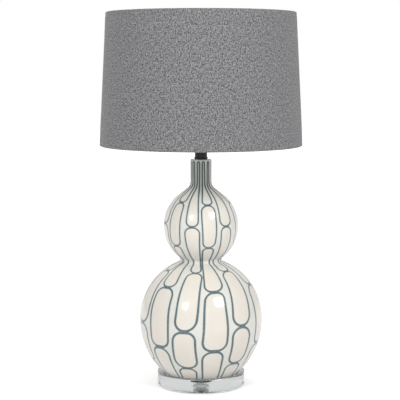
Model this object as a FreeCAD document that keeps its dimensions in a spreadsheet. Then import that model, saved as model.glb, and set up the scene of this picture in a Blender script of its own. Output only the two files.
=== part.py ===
import FreeCAD, Part

import math
import operator
import os
from types import SimpleNamespace

import Sketcher
from FreeCAD import Placement, Rotation, Vector

# A table lamp: a hollow ceramic double gourd on a clear round block, held together by a threaded
# tube, with a push-bar lampholder, a drum shade on a three-armed fitter and a lamp bulb.
# +Z is up, the origin is at the middle of the surface that the lamp stands on, and the cord
# leaves at the back, +Y. Lengths are millimetres and angles degrees.

SIZES = {
    # clear block with its feet, and the fixings in its underside
    "foot_pad_height": 2.0,
    "foot_pad_radius": 6.5,
    "foot_pad_circle": 66.0,
    "base_radius": 82.5,
    "base_height": 25.0,
    "base_edge_round": 1.2,
    "counterbore_radius": 16.0,
    "counterbore_depth": 9.0,
    "base_washer_radius": 14.0,
    "base_washer_thickness": 1.5,
    "nut_across_flats": 17.0,
    "nut_height": 5.0,
    "nut_chamfer": 1.0,
    "seat_ring_height": 1.0,
    "seat_ring_radius": 72.0,
    "seat_ring_width": 14.0,
    # threaded tube that ties the lamp together
    "rod_radius": 5.0,
    "rod_bore": 3.5,
    "rod_below_nut": 1.0,
    "rod_into_holder": 10.0,
    "rod_slot_width": 5.0,
    "rod_slot_length": 24.0,
    "thread_gap": 0.05,
    "hole_clearance": 0.4,
    # ceramic double gourd, from its foot upwards
    "belly_height": 100.4,
    "belly_radius": 116.5,
    "bowl_arc_radius": 142.6,
    "waist_round": 4.75,
    "upper_belly_rise": 176.3,
    "upper_belly_radius": 70.9,
    "upper_arc_radius": 75.9,
    "shoulder_angle": 52.12,
    "neck_radius": 20.0,
    "neck_round": 14.7,
    "neck_length": 42.4,
    "neck_lip_round": 2.2,
    "ceramic_wall": 6.0,
    "ceramic_floor": 8.0,
    "ceramic_top": 9.0,
    "foot_recess_radius": 60.0,
    "foot_recess_depth": 2.5,
    "foot_edge_round": 1.2,
    "top_hole_radius": 8.0,
    # cord bush, low in the back of the gourd
    "cord_hole_angle": 34.0,
    "cord_hole_radius": 5.5,
    "bush_bore": 3.6,
    "bush_flange_radius": 8.0,
    "bush_flange_thickness": 1.6,
    "bush_gap": 0.3,
    # turned cap and washer on the neck
    "neck_cap_radius": 12.0,
    "neck_cap_thickness": 2.0,
    "neck_cap_spigot": 6.0,
    "neck_cap_edge": 0.4,
    "neck_washer_radius": 13.25,
    "neck_washer_thickness": 1.5,
    # lampholder cap
    "holder_neck_radius": 11.75,
    "holder_neck_height": 9.5,
    "holder_flare_height": 10.5,
    "holder_radius": 20.0,
    "holder_wall": 2.0,
    "holder_cap_height": 41.5,
    "holder_ledge_width": 2.4,
    "holder_ledge_height": 1.5,
    "skirt_socket_depth": 5.5,
    "grub_screw_height": 5.0,
    "grub_screw_radius": 1.5,
    "grub_slot_width": 0.6,
    # push bar and its contacts
    "bar_height": 29.0,
    "bar_length": 52.0,
    "bar_width": 8.0,
    "bar_thickness": 7.0,
    "bar_end_round": 2.0,
    "bar_travel": 5.0,
    "bar_clearance": 0.3,
    "bridge_width": 3.0,
    "bridge_length": 13.0,
    "bridge_thickness": 1.1,
    "bridge_seat_depth": 0.6,
    "contact_gap": 0.3,
    "strip_thickness": 0.6,
    "strip_width": 3.0,
    "terminal_offset": 10.4,
    "terminal_block_width": 7.0,
    "terminal_block_depth": 3.0,
    "terminal_block_height": 6.0,
    "terminal_screw_radius": 1.25,
    "terminal_head_radius": 2.3,
    "terminal_head_height": 1.5,
    "centre_contact_width": 7.0,
    "centre_contact_reach": 2.0,
    "centre_contact_rise": 2.2,
    # insulating core, screw shell and threaded skirt
    "core_disc_height": 8.5,
    "core_height": 33.6,
    "screw_shell_radius": 14.05,
    "screw_shell_wall": 0.4,
    "screw_shell_height": 23.0,
    "screw_shell_lip": 3.0,
    "skirt_flange_radius": 22.0,
    "skirt_flange_thickness": 2.4,
    "skirt_radius": 19.5,
    "skirt_height": 32.0,
    "skirt_wall": 2.9,
    "skirt_lip_radius": 14.8,
    "skirt_lip_thickness": 1.5,
    "seat_gap": 0.1,
    "moving_gap": 0.3,
    # shade ring that clamps the fitter
    "ring_radius": 27.5,
    "ring_flange_thickness": 2.2,
    "ring_collar_radius": 23.2,
    "ring_height": 8.0,
    "ring_grip_radius": 2.0,
    "ring_grip_depth": 1.0,
    # shade and its fitter
    "fitter_drop": 22.1,
    "shade_height": 247.5,
    "shade_bottom_radius": 190.0,
    "shade_top_radius": 177.2,
    "fabric_thickness": 0.8,
    "lining_thickness": 0.5,
    "ring_wire_radius": 1.5,
    "weld_gap": 0.05,
    "hem_gap": 0.55,
    "hub_hole_radius": 20.4,
    "hub_radius": 30.0,
    "hub_thickness": 1.2,
    "hub_edge_round": 0.4,
    "arm_radius": 2.0,
    "arm_start_radius": 22.8,
    "arm_bend_radius": 34.0,
    "arm_bend_round": 25.0,
    "arm_rest_length": 5.25,
    "arm_end_gap": 0.4,
    # bulb; heights are from its tip
    "bulb_length": 108.0,
    "bulb_radius": 30.0,
    "bulb_joint_height": 62.0,
    "bulb_globe_wall": 1.2,
    "bulb_cap_radius": 13.15,
    "bulb_cap_height": 26.0,
    "bulb_cap_wall": 0.4,
    "bulb_cap_bevel": 1.5,
    "bulb_collar_radius": 14.0,
    "bulb_insulator_height": 4.0,
    "bulb_insulator_radius": 10.5,
    "bulb_tip_radius": 4.7,
    "bulb_tip_height": 1.4,
    "bulb_tip_rim": 1.0,
    "bulb_housing_wall": 1.6,
    "bulb_board_thickness": 1.6,
    "bulb_board_depth": 0.5,
    "bulb_board_inset": 0.3,
    # how far a cutting outline runs past the face that it opens
    "cut_margin": 1.0,
}
BASE_FEET = 4
FITTER_ARMS = 3
RING_GRIPS = 12
TERMINALS = 2
HOUSING_BEND = 1.5  # radius of the housing's curve, over the length that it spans
SAME = 1e-4  # two levels or radii closer than this are the same

document = FreeCAD.newDocument("gourd_lamp")


# ---------------------------------------------------------------- sizes that know their formula


class Length:
    """A number together with the spreadsheet formula that it comes from."""

    def __init__(self, value, formula):
        self.value = value
        self.formula = formula

    def __add__(self, other):
        return combine(self, "+", other)

    def __radd__(self, other):
        return combine(other, "+", self)

    def __sub__(self, other):
        return combine(self, "-", other)

    def __rsub__(self, other):
        return combine(other, "-", self)

    def __mul__(self, other):
        return combine(self, "*", other)

    def __rmul__(self, other):
        return combine(other, "*", self)

    def __truediv__(self, other):
        return combine(self, "/", other)

    def __neg__(self):
        return combine(0, "-", self)


OPERATIONS = {
    "+": operator.add,
    "-": operator.sub,
    "*": operator.mul,
    "/": operator.truediv,
}


def as_length(number):
    if isinstance(number, Length):
        return number
    return Length(float(number), str(float(number)))


def combine(left, sign, right):
    left = as_length(left)
    right = as_length(right)
    value = OPERATIONS[sign](left.value, right.value)
    return Length(value, f"({left.formula} {sign} {right.formula})")


def root(length):
    return Length(math.sqrt(length.value), f"sqrt({length.formula})")


def sine(angle):
    return Length(math.sin(math.radians(angle.value)), f"sin({angle.formula} * 1 deg)")


def cosine(angle):
    return Length(math.cos(math.radians(angle.value)), f"cos({angle.formula} * 1 deg)")


def fill_sheet():
    """Writes the driving sizes to the spreadsheet and returns them by name."""
    sheet = document.addObject("Spreadsheet::Sheet", "Sizes")
    lengths = {}
    for row, (name, value) in enumerate(SIZES.items(), start=1):
        sheet.set(f"A{row}", name)
        sheet.set(f"B{row}", str(value))
        sheet.setAlias(f"B{row}", name)
        lengths[name] = Length(value, f"Sizes.{name}")
    document.recompute()
    return SimpleNamespace(**lengths)


s = fill_sheet()
ZERO = as_length(0)

# Levels, from the surface that the lamp stands on upwards.
base_bottom = s.foot_pad_height
base_top = base_bottom + s.base_height
counterbore_top = base_bottom + s.counterbore_depth
nut_top = counterbore_top - s.base_washer_thickness
nut_bottom = nut_top - s.nut_height
rod_bottom = nut_bottom - s.rod_below_nut
foot = base_top + s.seat_ring_height
floor_top = foot + s.ceramic_floor
belly = foot + s.belly_height
upper_belly = belly + s.upper_belly_rise
shoulder_run = s.neck_radius + s.neck_round - (s.upper_belly_radius - s.upper_arc_radius)
shoulder_reach = s.upper_arc_radius + s.neck_round - shoulder_run * cosine(s.shoulder_angle)
neck_round_level = upper_belly + shoulder_reach / sine(s.shoulder_angle)
gourd_top = neck_round_level + s.neck_length
cavity_top = gourd_top - s.ceramic_top
neck_cap_top = gourd_top + s.neck_cap_thickness
holder_bottom = neck_cap_top + s.neck_washer_thickness
rod_top = holder_bottom + s.rod_into_holder
neck_end = holder_bottom + s.holder_neck_height
flare_end = neck_end + s.holder_flare_height
holder_top = holder_bottom + s.holder_cap_height
socket_floor = holder_top - s.skirt_socket_depth
core_bottom = socket_floor + s.seat_gap
disc_top = core_bottom + s.core_disc_height
core_top = core_bottom + s.core_height
skirt_flange_top = holder_top + s.skirt_flange_thickness
skirt_top = holder_top + s.skirt_height
skirt_lip = skirt_top - s.skirt_lip_thickness
bar_middle = holder_bottom + s.bar_height
bar_top = bar_middle + s.bar_thickness / 2
bridge_bottom = bar_top - s.bridge_seat_depth
bridge_top = bridge_bottom + s.bridge_thickness
strip_foot = bridge_top + s.contact_gap
screw_shell_bottom = disc_top + s.seat_gap
centre_contact_top = screw_shell_bottom + s.centre_contact_rise
bulb_tip = centre_contact_top + s.moving_gap
hub_bottom = skirt_flange_top + s.moving_gap
hub_top = hub_bottom + s.hub_thickness
ring_bottom = hub_top + s.moving_gap
shade_bottom = hub_bottom - s.fitter_drop
shade_top = shade_bottom + s.shade_height

# Radii and offsets that several pieces share.
rod_thread = s.rod_radius + s.thread_gap
rod_hole = s.rod_radius + s.hole_clearance
bowl_centre = s.belly_radius - s.bowl_arc_radius
holder_inner = s.holder_radius - s.holder_wall
skirt_plug_radius = holder_inner - s.seat_gap
skirt_inner = s.skirt_radius - s.skirt_wall
core_radius = skirt_inner - s.seat_gap
strip_side = s.bar_travel / 2 - s.strip_width / 2
hem_inner = s.ring_wire_radius + s.hem_gap
hem_outer = hem_inner + s.fabric_thickness
bottom_wire_radius = s.shade_bottom_radius - hem_outer
bottom_wire_level = shade_bottom + hem_outer
top_wire_radius = s.shade_top_radius - hem_outer
top_wire_level = shade_top - hem_outer


# ---------------------------------------------------------------- drawing helpers


def new_body(label):
    body = document.addObject("PartDesign::Body", label)
    body.Label = label
    return body


def new_sketch(body, name, plane, offset=None):
    """A sketch on one of the body's own origin planes, or at an offset along its normal."""
    sketch = body.newObject("Sketcher::SketchObject", name)
    support = next(part for part in body.Origin.OriginFeatures if part.Role == plane)
    sketch.AttachmentSupport = [(support, "")]
    sketch.MapMode = "FlatFace"
    if offset is not None:
        sketch.setExpression("AttachmentOffset.Base.z", offset.formula)
    return sketch


def bind(sketch, kind, *where, length):
    """Adds a constraint whose value follows the spreadsheet."""
    index = sketch.addConstraint(Sketcher.Constraint(kind, *where, length.value))
    sketch.setExpression(f"Constraints[{index}]", length.formula)


def place_point(sketch, item, end, x, y):
    """Fixes a point of a sketch item at two lengths from the sketch's axes."""
    for kind, axis, length in (("DistanceX", -2, x), ("DistanceY", -1, y)):
        if length is ZERO:
            sketch.addConstraint(Sketcher.Constraint("PointOnObject", item, end, axis))
        else:
            bind(sketch, kind, item, end, length=length)


def draw_circle(sketch, x, y, radius):
    circle = Part.Circle(Vector(x.value, y.value), Vector(0, 0, 1), radius.value)
    item = sketch.addGeometry(circle)
    place_point(sketch, item, 3, x, y)
    bind(sketch, "Radius", item, length=radius)


def draw_side(sketch, start, end, radius=None, turn=0):
    """A straight side, or an arc that turns left (1) or right (-1); returns the item and its ends."""
    start = Vector(start[0].value, start[1].value)
    end = Vector(end[0].value, end[1].value)
    if radius is None:
        return sketch.addGeometry(Part.LineSegment(start, end)), 1, 2
    chord = end - start
    rise = math.sqrt(radius.value**2 - (chord.Length / 2) ** 2)
    left = Vector(-chord.y, chord.x).normalize()
    centre = (start + end) / 2 + left * turn * rise
    circle = Part.Circle(centre, Vector(0, 0, 1), radius.value)
    angles = [math.atan2((point - centre).y, (point - centre).x) for point in (start, end)]
    if turn > 0:
        return sketch.addGeometry(Part.ArcOfCircle(circle, *angles)), 1, 2
    return sketch.addGeometry(Part.ArcOfCircle(circle, *reversed(angles))), 2, 1


def draw_loop(sketch, corners):
    """A closed outline. A corner is (x, y), or (x, y, radius, turn) where an arc leaves it."""
    items = []
    for corner, following in zip(corners, corners[1:] + corners[:1]):
        item, first, last = draw_side(sketch, corner, following, *corner[2:])
        place_point(sketch, item, first, corner[0], corner[1])
        if len(corner) > 2:
            bind(sketch, "Radius", item, length=corner[2])
        items.append((item, first, last))
    for (item, _, last), (following, first, _) in zip(items, items[1:] + items[:1]):
        sketch.addConstraint(Sketcher.Constraint("Coincident", item, last, following, first))


def rectangle(left, right, low, high):
    return [(left, low), (right, low), (right, high), (left, high)]


def is_cut(body, feature):
    """Stops if a cutting feature took nothing away from its body."""
    document.recompute()
    before = feature.BaseFeature.Shape.Volume
    if feature.Shape.Volume > before - SAME:
        raise RuntimeError(f"{feature.Label} cuts nothing from {body.Label}")


def extrude(body, name, sketch, length, both_ways=False):
    pad = body.newObject("PartDesign::Pad", name)
    pad.Profile = sketch
    pad.setExpression("Length", length.formula)
    pad.SideType = "Symmetric" if both_ways else "One side"
    return pad


def pocket(body, name, sketch, length, both_ways=False, along_normal=False):
    cut = body.newObject("PartDesign::Pocket", name)
    cut.Profile = sketch
    cut.setExpression("Length", length.formula)
    cut.SideType = "Symmetric" if both_ways else "One side"
    cut.Reversed = along_normal
    is_cut(body, cut)
    return cut


def revolve(body, name, sketch, axis="V_Axis"):
    solid = body.newObject("PartDesign::Revolution", name)
    solid.Profile = sketch
    solid.ReferenceAxis = (sketch, [axis])
    solid.Angle = 360
    return solid


def groove(body, name, sketch, axis="V_Axis"):
    cut = body.newObject("PartDesign::Groove", name)
    cut.Profile = sketch
    cut.ReferenceAxis = (sketch, [axis])
    cut.Angle = 360
    is_cut(body, cut)
    return cut


def repeat_round(body, name, features, count):
    """Repeats features evenly round the lamp's axis."""
    pattern = body.newObject("PartDesign::PolarPattern", name)
    pattern.Originals = features
    axis = next(part for part in body.Origin.OriginFeatures if part.Role == "Z_Axis")
    pattern.Axis = (axis, [""])
    pattern.Angle = 360
    pattern.Occurrences = count
    body.Tip = pattern
    return pattern


def round_edges(body, name, radius, circles):
    """Rounds the circular edges that lie at the given radii and levels."""
    document.recompute()
    base = body.Tip
    names = []
    for index, edge in enumerate(base.Shape.Edges, start=1):
        if not isinstance(edge.Curve, Part.Circle):
            continue
        for circle_radius, level in circles:
            off_radius = abs(edge.Curve.Radius - circle_radius.value)
            off_level = abs(edge.Curve.Center.z - level.value)
            if off_radius < SAME and off_level < SAME:
                names.append(f"Edge{index}")
    if not names:
        raise RuntimeError(f"{name} finds no edge on {body.Label}")
    fillet = body.newObject("PartDesign::Fillet", name)
    fillet.Base = (base, names)
    fillet.setExpression("Radius", radius.formula)
    return fillet


def turned(label, corners):
    """A body of revolution about the lamp's axis from its half section."""
    body = new_body(label)
    sketch = new_sketch(body, f"{label}_section", "XZ_Plane")
    draw_loop(sketch, corners)
    revolve(body, f"{label}_turning", sketch)
    return body


# ---------------------------------------------------------------- the clear base


def base_pads():
    """Four low pads under the block."""
    body = new_body("base_pads")
    sketch = new_sketch(body, "pad_outline", "XY_Plane")
    draw_circle(sketch, s.foot_pad_circle, ZERO, s.foot_pad_radius)
    pad = extrude(body, "pad", sketch, s.foot_pad_height)
    repeat_round(body, "pads", [pad], BASE_FEET)
    return body


def acrylic_base():
    """A thick clear disc, bored for the tube and counterbored from below for washer and nut."""
    body = new_body("acrylic_base")
    disc = new_sketch(body, "disc_outline", "XY_Plane", base_bottom)
    draw_circle(disc, ZERO, ZERO, s.base_radius)
    extrude(body, "disc", disc, s.base_height)
    bore = new_sketch(body, "bore_outline", "XY_Plane", base_bottom)
    draw_circle(bore, ZERO, ZERO, rod_hole)
    pocket(body, "bore", bore, s.base_height, along_normal=True)
    recess = new_sketch(body, "counterbore_outline", "XY_Plane", base_bottom)
    draw_circle(recess, ZERO, ZERO, s.counterbore_radius)
    pocket(body, "counterbore", recess, s.counterbore_depth, along_normal=True)
    rims = [(s.base_radius, base_bottom), (s.base_radius, base_top)]
    round_edges(body, "polished_edges", s.base_edge_round, rims)
    return body


def seat_ring():
    """A thin clear ring between the block and the glazed foot."""
    inner = s.seat_ring_radius - s.seat_ring_width
    return turned("seat_ring", rectangle(inner, s.seat_ring_radius, base_top, foot))


def base_washer():
    corners = rectangle(rod_thread, s.base_washer_radius, nut_top, counterbore_top)
    return turned("base_washer", corners)


def base_nut():
    """A hexagon nut with its corners chamfered at both faces."""
    body = new_body("base_nut")
    flat = s.nut_across_flats / 2
    corner = s.nut_across_flats / math.sqrt(3)
    hexagon = new_sketch(body, "nut_outline", "XY_Plane", nut_bottom)
    half_corner = corner / 2
    corners = [(corner, ZERO), (half_corner, flat), (-half_corner, flat)]
    corners += [(-corner, ZERO), (-half_corner, -flat), (half_corner, -flat)]
    draw_loop(hexagon, corners)
    draw_circle(hexagon, ZERO, ZERO, rod_thread)
    extrude(body, "nut_blank", hexagon, s.nut_height)
    outside = corner + s.nut_chamfer
    for name, face, inward in (("lower", nut_bottom, 1), ("upper", nut_top, -1)):
        sketch = new_sketch(body, f"{name}_chamfer_section", "XZ_Plane")
        bevel = s.nut_chamfer * inward
        draw_loop(sketch, [(flat, face), (outside, face), (outside, face + bevel)])
        groove(body, f"{name}_chamfer", sketch)
    return body


def threaded_rod():
    """The hollow tube, with a slot low in its back where the cord goes in."""
    body = new_body("threaded_rod")
    outline = new_sketch(body, "tube_outline", "XY_Plane", rod_bottom)
    draw_circle(outline, ZERO, ZERO, s.rod_radius)
    draw_circle(outline, ZERO, ZERO, s.rod_bore)
    extrude(body, "tube", outline, rod_top - rod_bottom)
    slot = new_sketch(body, "slot_outline", "XZ_Plane")
    half = s.rod_slot_width / 2
    low = floor_top + s.rod_slot_width
    high = low + s.rod_slot_length
    corners = [
        (-half, low, half, 1),
        (ZERO, low - half, half, 1),
        (half, low),
        (half, high, half, 1),
        (ZERO, high + half, half, 1),
        (-half, high),
    ]
    draw_loop(slot, corners)
    pocket(body, "cord_slot", slot, s.rod_radius + s.cut_margin)
    return body


# ---------------------------------------------------------------- the ceramic double gourd


def draw_arc(sketch, centre, radius, first, last):
    """An arc anticlockwise from one direction to another, both in radians."""
    circle = Part.Circle(Vector(*centre), Vector(0, 0, 1), radius)
    return sketch.addGeometry(Part.ArcOfCircle(circle, first, last))


def draw_gourd(sketch, inset, low, high):
    """Half section of the gourd inside its outline by the inset, from one level to another.

    The outline is a bowl arc up to the belly, a circle about the axis from there to the waist,
    a small round in the waist, the upper gourd's arc, a straight shoulder and the round that
    leads into the straight neck. Each touches the next.
    """
    crown = s.belly_radius.value
    waist = s.waist_round.value
    upper = s.upper_arc_radius.value
    neck = s.neck_round.value
    belly_centre = Vector(0, belly.value)
    upper_centre = Vector(s.upper_belly_radius.value - upper, upper_belly.value)
    neck_centre = Vector(s.neck_radius.value + neck, neck_round_level.value)

    to_upper = upper_centre - belly_centre
    lower_reach = crown + waist
    upper_reach = upper + waist
    along = (lower_reach**2 - upper_reach**2 + to_upper.Length**2) / (2 * to_upper.Length)
    across = math.sqrt(lower_reach**2 - along**2)
    unit = Vector(to_upper).normalize()
    waist_centre = belly_centre + unit * along + Vector(unit.y, -unit.x) * across
    waist_low = math.atan2(*(waist_centre - belly_centre)[1::-1])
    waist_high = math.atan2(*(waist_centre - upper_centre)[1::-1])

    shoulder = math.radians(s.shoulder_angle.value)
    outward = Vector(math.cos(shoulder), math.sin(shoulder))
    gap = inset.value
    bowl_radius = s.bowl_arc_radius.value - gap
    bowl_start = math.asin((low.value - belly.value) / bowl_radius)
    bowl_foot = bowl_centre.value + bowl_radius * math.cos(bowl_start)
    neck_side = s.neck_radius.value - gap
    corner = {
        "axis_low": Vector(0, low.value),
        "foot": Vector(bowl_foot, low.value),
        "shoulder_low": upper_centre + outward * (upper - gap),
        "shoulder_high": neck_centre - outward * (neck + gap),
        "neck_low": Vector(neck_side, neck_round_level.value),
        "neck_high": Vector(neck_side, high.value),
        "axis_high": Vector(0, high.value),
    }

    def line(start, end):
        return sketch.addGeometry(Part.LineSegment(corner[start], corner[end]))

    bottom = line("axis_low", "foot")
    bowl = draw_arc(sketch, (bowl_centre.value, belly.value), bowl_radius, bowl_start, 0)
    crown_arc = draw_arc(sketch, belly_centre[:2], crown - gap, 0, waist_low)
    waist_arc = draw_arc(
        sketch, waist_centre[:2], waist + gap, math.pi + waist_high, math.pi + waist_low
    )
    upper_arc = draw_arc(sketch, upper_centre[:2], upper - gap, waist_high, shoulder)
    shoulder_line = line("shoulder_low", "shoulder_high")
    neck_arc = draw_arc(sketch, neck_centre[:2], neck + gap, math.pi, math.pi + shoulder)
    neck_line = line("neck_low", "neck_high")
    top = line("neck_high", "axis_high")
    axis = line("axis_high", "axis_low")

    def relate(kind, *where):
        sketch.addConstraint(Sketcher.Constraint(kind, *where))

    relate("Horizontal", bottom)
    place_point(sketch, bottom, 1, ZERO, low)
    relate("Coincident", bottom, 2, bowl, 1)
    place_point(sketch, bowl, 3, bowl_centre, belly)
    bind(sketch, "Radius", bowl, length=s.bowl_arc_radius - inset)
    bind(sketch, "DistanceY", bowl, 2, length=belly)
    relate("Coincident", bowl, 2, crown_arc, 1)
    place_point(sketch, crown_arc, 3, ZERO, belly)
    relate("Tangent", crown_arc, 2, waist_arc, 2)
    bind(sketch, "Radius", waist_arc, length=s.waist_round + inset)
    relate("Tangent", waist_arc, 1, upper_arc, 1)
    place_point(sketch, upper_arc, 3, s.upper_belly_radius - s.upper_arc_radius, upper_belly)
    bind(sketch, "Radius", upper_arc, length=s.upper_arc_radius - inset)
    relate("Tangent", upper_arc, 2, shoulder_line, 1)
    relate("Tangent", shoulder_line, 2, neck_arc, 2)
    bind(sketch, "Radius", neck_arc, length=s.neck_round + inset)
    bind(sketch, "DistanceY", neck_arc, 3, length=neck_round_level)
    relate("Tangent", neck_arc, 1, neck_line, 1)
    relate("Vertical", neck_line)
    place_point(sketch, neck_line, 2, s.neck_radius - inset, high)
    relate("Coincident", neck_line, 2, top, 1)
    relate("Horizontal", top)
    relate("PointOnObject", top, 2, -2)
    relate("Coincident", top, 2, axis, 1)
    relate("Coincident", axis, 2, bottom, 1)


def stand_on_wall(feature, depth):
    """Stands a feature square to the gourd's wall at the cord hole, its own Z pointing outwards
    and its origin at the given depth under the glazed surface."""
    reach = (s.bowl_arc_radius - depth) * cosine(s.cord_hole_angle)
    drop = (s.bowl_arc_radius - depth) * sine(s.cord_hole_angle)
    back = bowl_centre + reach
    level = belly - drop
    tilt = -(s.cord_hole_angle + 90)
    feature.Placement = Placement(
        Vector(0, back.value, level.value), Rotation(Vector(1, 0, 0), tilt.value)
    )
    feature.setExpression("Placement.Base.y", back.formula)
    feature.setExpression("Placement.Base.z", level.formula)
    feature.setExpression("Placement.Rotation.Angle", f"{tilt.formula} * 1 deg")


def ceramic_body():
    """The hollow gourd with its foot ring, closed floor and top, and cord hole."""
    body = new_body("ceramic_body")
    outside = new_sketch(body, "gourd_outline", "XZ_Plane")
    draw_gourd(outside, ZERO, foot, gourd_top)
    revolve(body, "gourd", outside)
    cavity = new_sketch(body, "cavity_outline", "XZ_Plane")
    draw_gourd(cavity, s.ceramic_wall, floor_top, cavity_top)
    groove(body, "cavity", cavity)
    holes = new_sketch(body, "rod_hole_section", "XZ_Plane")
    draw_loop(holes, rectangle(ZERO, s.top_hole_radius, foot, gourd_top))
    groove(body, "rod_holes", holes)
    recess = new_sketch(body, "foot_recess_section", "XZ_Plane")
    recess_top = foot + s.foot_recess_depth
    draw_loop(recess, rectangle(ZERO, s.foot_recess_radius, foot, recess_top))
    groove(body, "foot_recess", recess)
    round_edges(body, "neck_lip", s.neck_lip_round, [(s.neck_radius, gourd_top)])
    drop = s.belly_height * s.belly_height
    foot_radius = bowl_centre + root(s.bowl_arc_radius * s.bowl_arc_radius - drop)
    round_edges(body, "foot_edge", s.foot_edge_round, [(foot_radius, foot)])
    cutter_length = 2 * (s.ceramic_wall + s.cut_margin)
    cord_hole = body.newObject("PartDesign::SubtractiveCylinder", "cord_hole")
    cord_hole.setExpression("Radius", s.cord_hole_radius.formula)
    cord_hole.setExpression("Height", cutter_length.formula)
    stand_on_wall(cord_hole, s.ceramic_wall + s.cut_margin)
    is_cut(body, cord_hole)
    return body


def cord_bush():
    """A rubber grommet whose two flanges hold the wall of the cord hole between them."""
    sleeve = s.cord_hole_radius - s.thread_gap
    inner_face = -(s.ceramic_wall + s.bush_gap)
    inner_end = inner_face - s.bush_flange_thickness
    inner_lip = s.cord_hole_radius + s.bush_flange_thickness
    outer_end = s.bush_gap + s.bush_flange_thickness
    corners = [
        (s.bush_bore, inner_end),
        (sleeve, inner_end),
        (inner_lip, inner_face),
        (sleeve, inner_face),
        (sleeve, s.bush_gap),
        (s.bush_flange_radius, s.bush_gap, s.bush_flange_thickness, 1),
        (s.bush_flange_radius - s.bush_flange_thickness, outer_end),
        (s.bush_bore, outer_end),
    ]
    body = turned("cord_bush", corners)
    stand_on_wall(body, ZERO)
    return body


# ---------------------------------------------------------------- cap and washer on the neck


def neck_cap():
    """A turned cap whose spigot centres it in the gourd's top hole."""
    spigot = s.top_hole_radius - s.hole_clearance
    edge = s.neck_cap_edge
    corners = [
        (rod_thread, gourd_top - s.neck_cap_spigot),
        (spigot, gourd_top - s.neck_cap_spigot),
        (spigot, gourd_top),
        (s.neck_cap_radius, gourd_top),
        (s.neck_cap_radius, neck_cap_top - edge, edge, 1),
        (s.neck_cap_radius - edge, neck_cap_top),
        (rod_thread, neck_cap_top),
    ]
    return turned("neck_cap", corners)


def neck_washer():
    corners = rectangle(rod_thread, s.neck_washer_radius, neck_cap_top, holder_bottom)
    return turned("neck_washer", corners)


# ---------------------------------------------------------------- the lampholder


def lampholder_cap():
    """A bell-shaped cap: threaded neck, flare, bar slots, ledge for the core, socket for the skirt."""
    flare = s.holder_radius - s.holder_neck_radius
    bend = (flare * flare + s.holder_flare_height * s.holder_flare_height) / (4 * flare)
    neck_inner = s.holder_neck_radius - s.holder_wall
    boss_top = neck_end + s.holder_wall
    inner_flare_end = boss_top + s.holder_flare_height
    ledge = holder_inner - s.holder_ledge_width
    ledge_bottom = socket_floor - s.holder_ledge_height
    corners = [
        (rod_thread, holder_bottom),
        (s.holder_neck_radius, holder_bottom),
        (s.holder_neck_radius, neck_end, bend, -1),
        (s.holder_neck_radius + flare / 2, neck_end + s.holder_flare_height / 2, bend, 1),
        (s.holder_radius, flare_end),
        (s.holder_radius, holder_top),
        (holder_inner, holder_top),
        (holder_inner, socket_floor),
        (ledge, socket_floor),
        (ledge, ledge_bottom),
        (holder_inner, ledge_bottom),
        (holder_inner, inner_flare_end, bend, -1),
        (neck_inner + flare / 2, boss_top + s.holder_flare_height / 2, bend, 1),
        (neck_inner, boss_top),
        (rod_thread, boss_top),
    ]
    body = turned("lampholder_cap", corners)
    slot = new_sketch(body, "bar_slot_outline", "YZ_Plane")
    half_width = s.bar_width / 2 + s.bar_clearance
    half_height = s.bar_thickness / 2 + s.bar_clearance
    low = bar_middle - half_height
    high = bar_middle + half_height
    draw_loop(slot, rectangle(-half_width, half_width, low, high))
    pocket(body, "bar_slots", slot, 2 * (s.holder_radius + s.cut_margin), both_ways=True)
    hole = new_sketch(body, "grub_hole_outline", "XZ_Plane")
    grub_level = holder_bottom + s.grub_screw_height
    draw_circle(hole, ZERO, grub_level, s.grub_screw_radius + s.thread_gap)
    pocket(body, "grub_hole", hole, s.holder_radius)
    return body


def sideways_section(body, name, level, corners, side=None):
    """A half section to turn about a line that runs back from the lamp's axis at a level."""
    sketch = new_sketch(body, f"{name}_section", "YZ_Plane", side)
    sketch.setExpression("AttachmentOffset.Base.y", level.formula)
    draw_loop(sketch, corners)
    return sketch


def locking_screw():
    """The grub screw that stops the lampholder turning on the tube."""
    body = new_body("locking_screw")
    level = holder_bottom + s.grub_screw_height
    start = rod_thread
    end = s.holder_neck_radius
    corners = rectangle(start, end, ZERO, s.grub_screw_radius)
    revolve(body, "grub", sideways_section(body, "grub", level, corners), "H_Axis")
    slot = new_sketch(body, "grub_slot_outline", "YZ_Plane")
    half = s.grub_slot_width / 2
    slot_start = end - s.grub_screw_radius
    slot_end = end + s.cut_margin
    draw_loop(slot, rectangle(slot_start, slot_end, level - half, level + half))
    pocket(body, "grub_slot", slot, 2 * (s.grub_screw_radius + s.cut_margin), both_ways=True)
    return body


def at_rest(body):
    """Moves a switch piece from the middle of its travel to the off position, to the left."""
    rest = -s.bar_travel / 2
    body.Placement = Placement(Vector(rest.value, 0, 0), Rotation())
    body.setExpression("Placement.Base.x", rest.formula)


def switch_bar():
    """The bar through the holder: pushed from one side for on and from the other for off."""
    body = new_body("switch_bar")
    section = new_sketch(body, "bar_section", "YZ_Plane")
    half = s.bar_width / 2
    low = bar_middle - s.bar_thickness / 2
    draw_loop(section, rectangle(-half, half, low, bar_top))
    extrude(body, "bar", section, s.bar_length, both_ways=True)
    document.recompute()
    ends = []
    for index, edge in enumerate(body.Tip.Shape.Edges, start=1):
        if abs(abs(edge.CenterOfMass.x) - s.bar_length.value / 2) < SAME:
            ends.append(f"Edge{index}")
    fillet = body.newObject("PartDesign::Fillet", "bar_ends")
    fillet.Base = (document.getObject("bar"), ends)
    fillet.setExpression("Radius", s.bar_end_round.formula)
    seat = new_sketch(body, "bridge_seat_outline", "XZ_Plane")
    seat_half = s.bridge_width / 2 + s.thread_gap
    seat_top = bar_top + s.cut_margin
    draw_loop(seat, rectangle(-seat_half, seat_half, bridge_bottom, seat_top))
    pocket(body, "bridge_seat", seat, s.bar_width + 2 * s.cut_margin, both_ways=True)
    at_rest(body)
    return body


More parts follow.
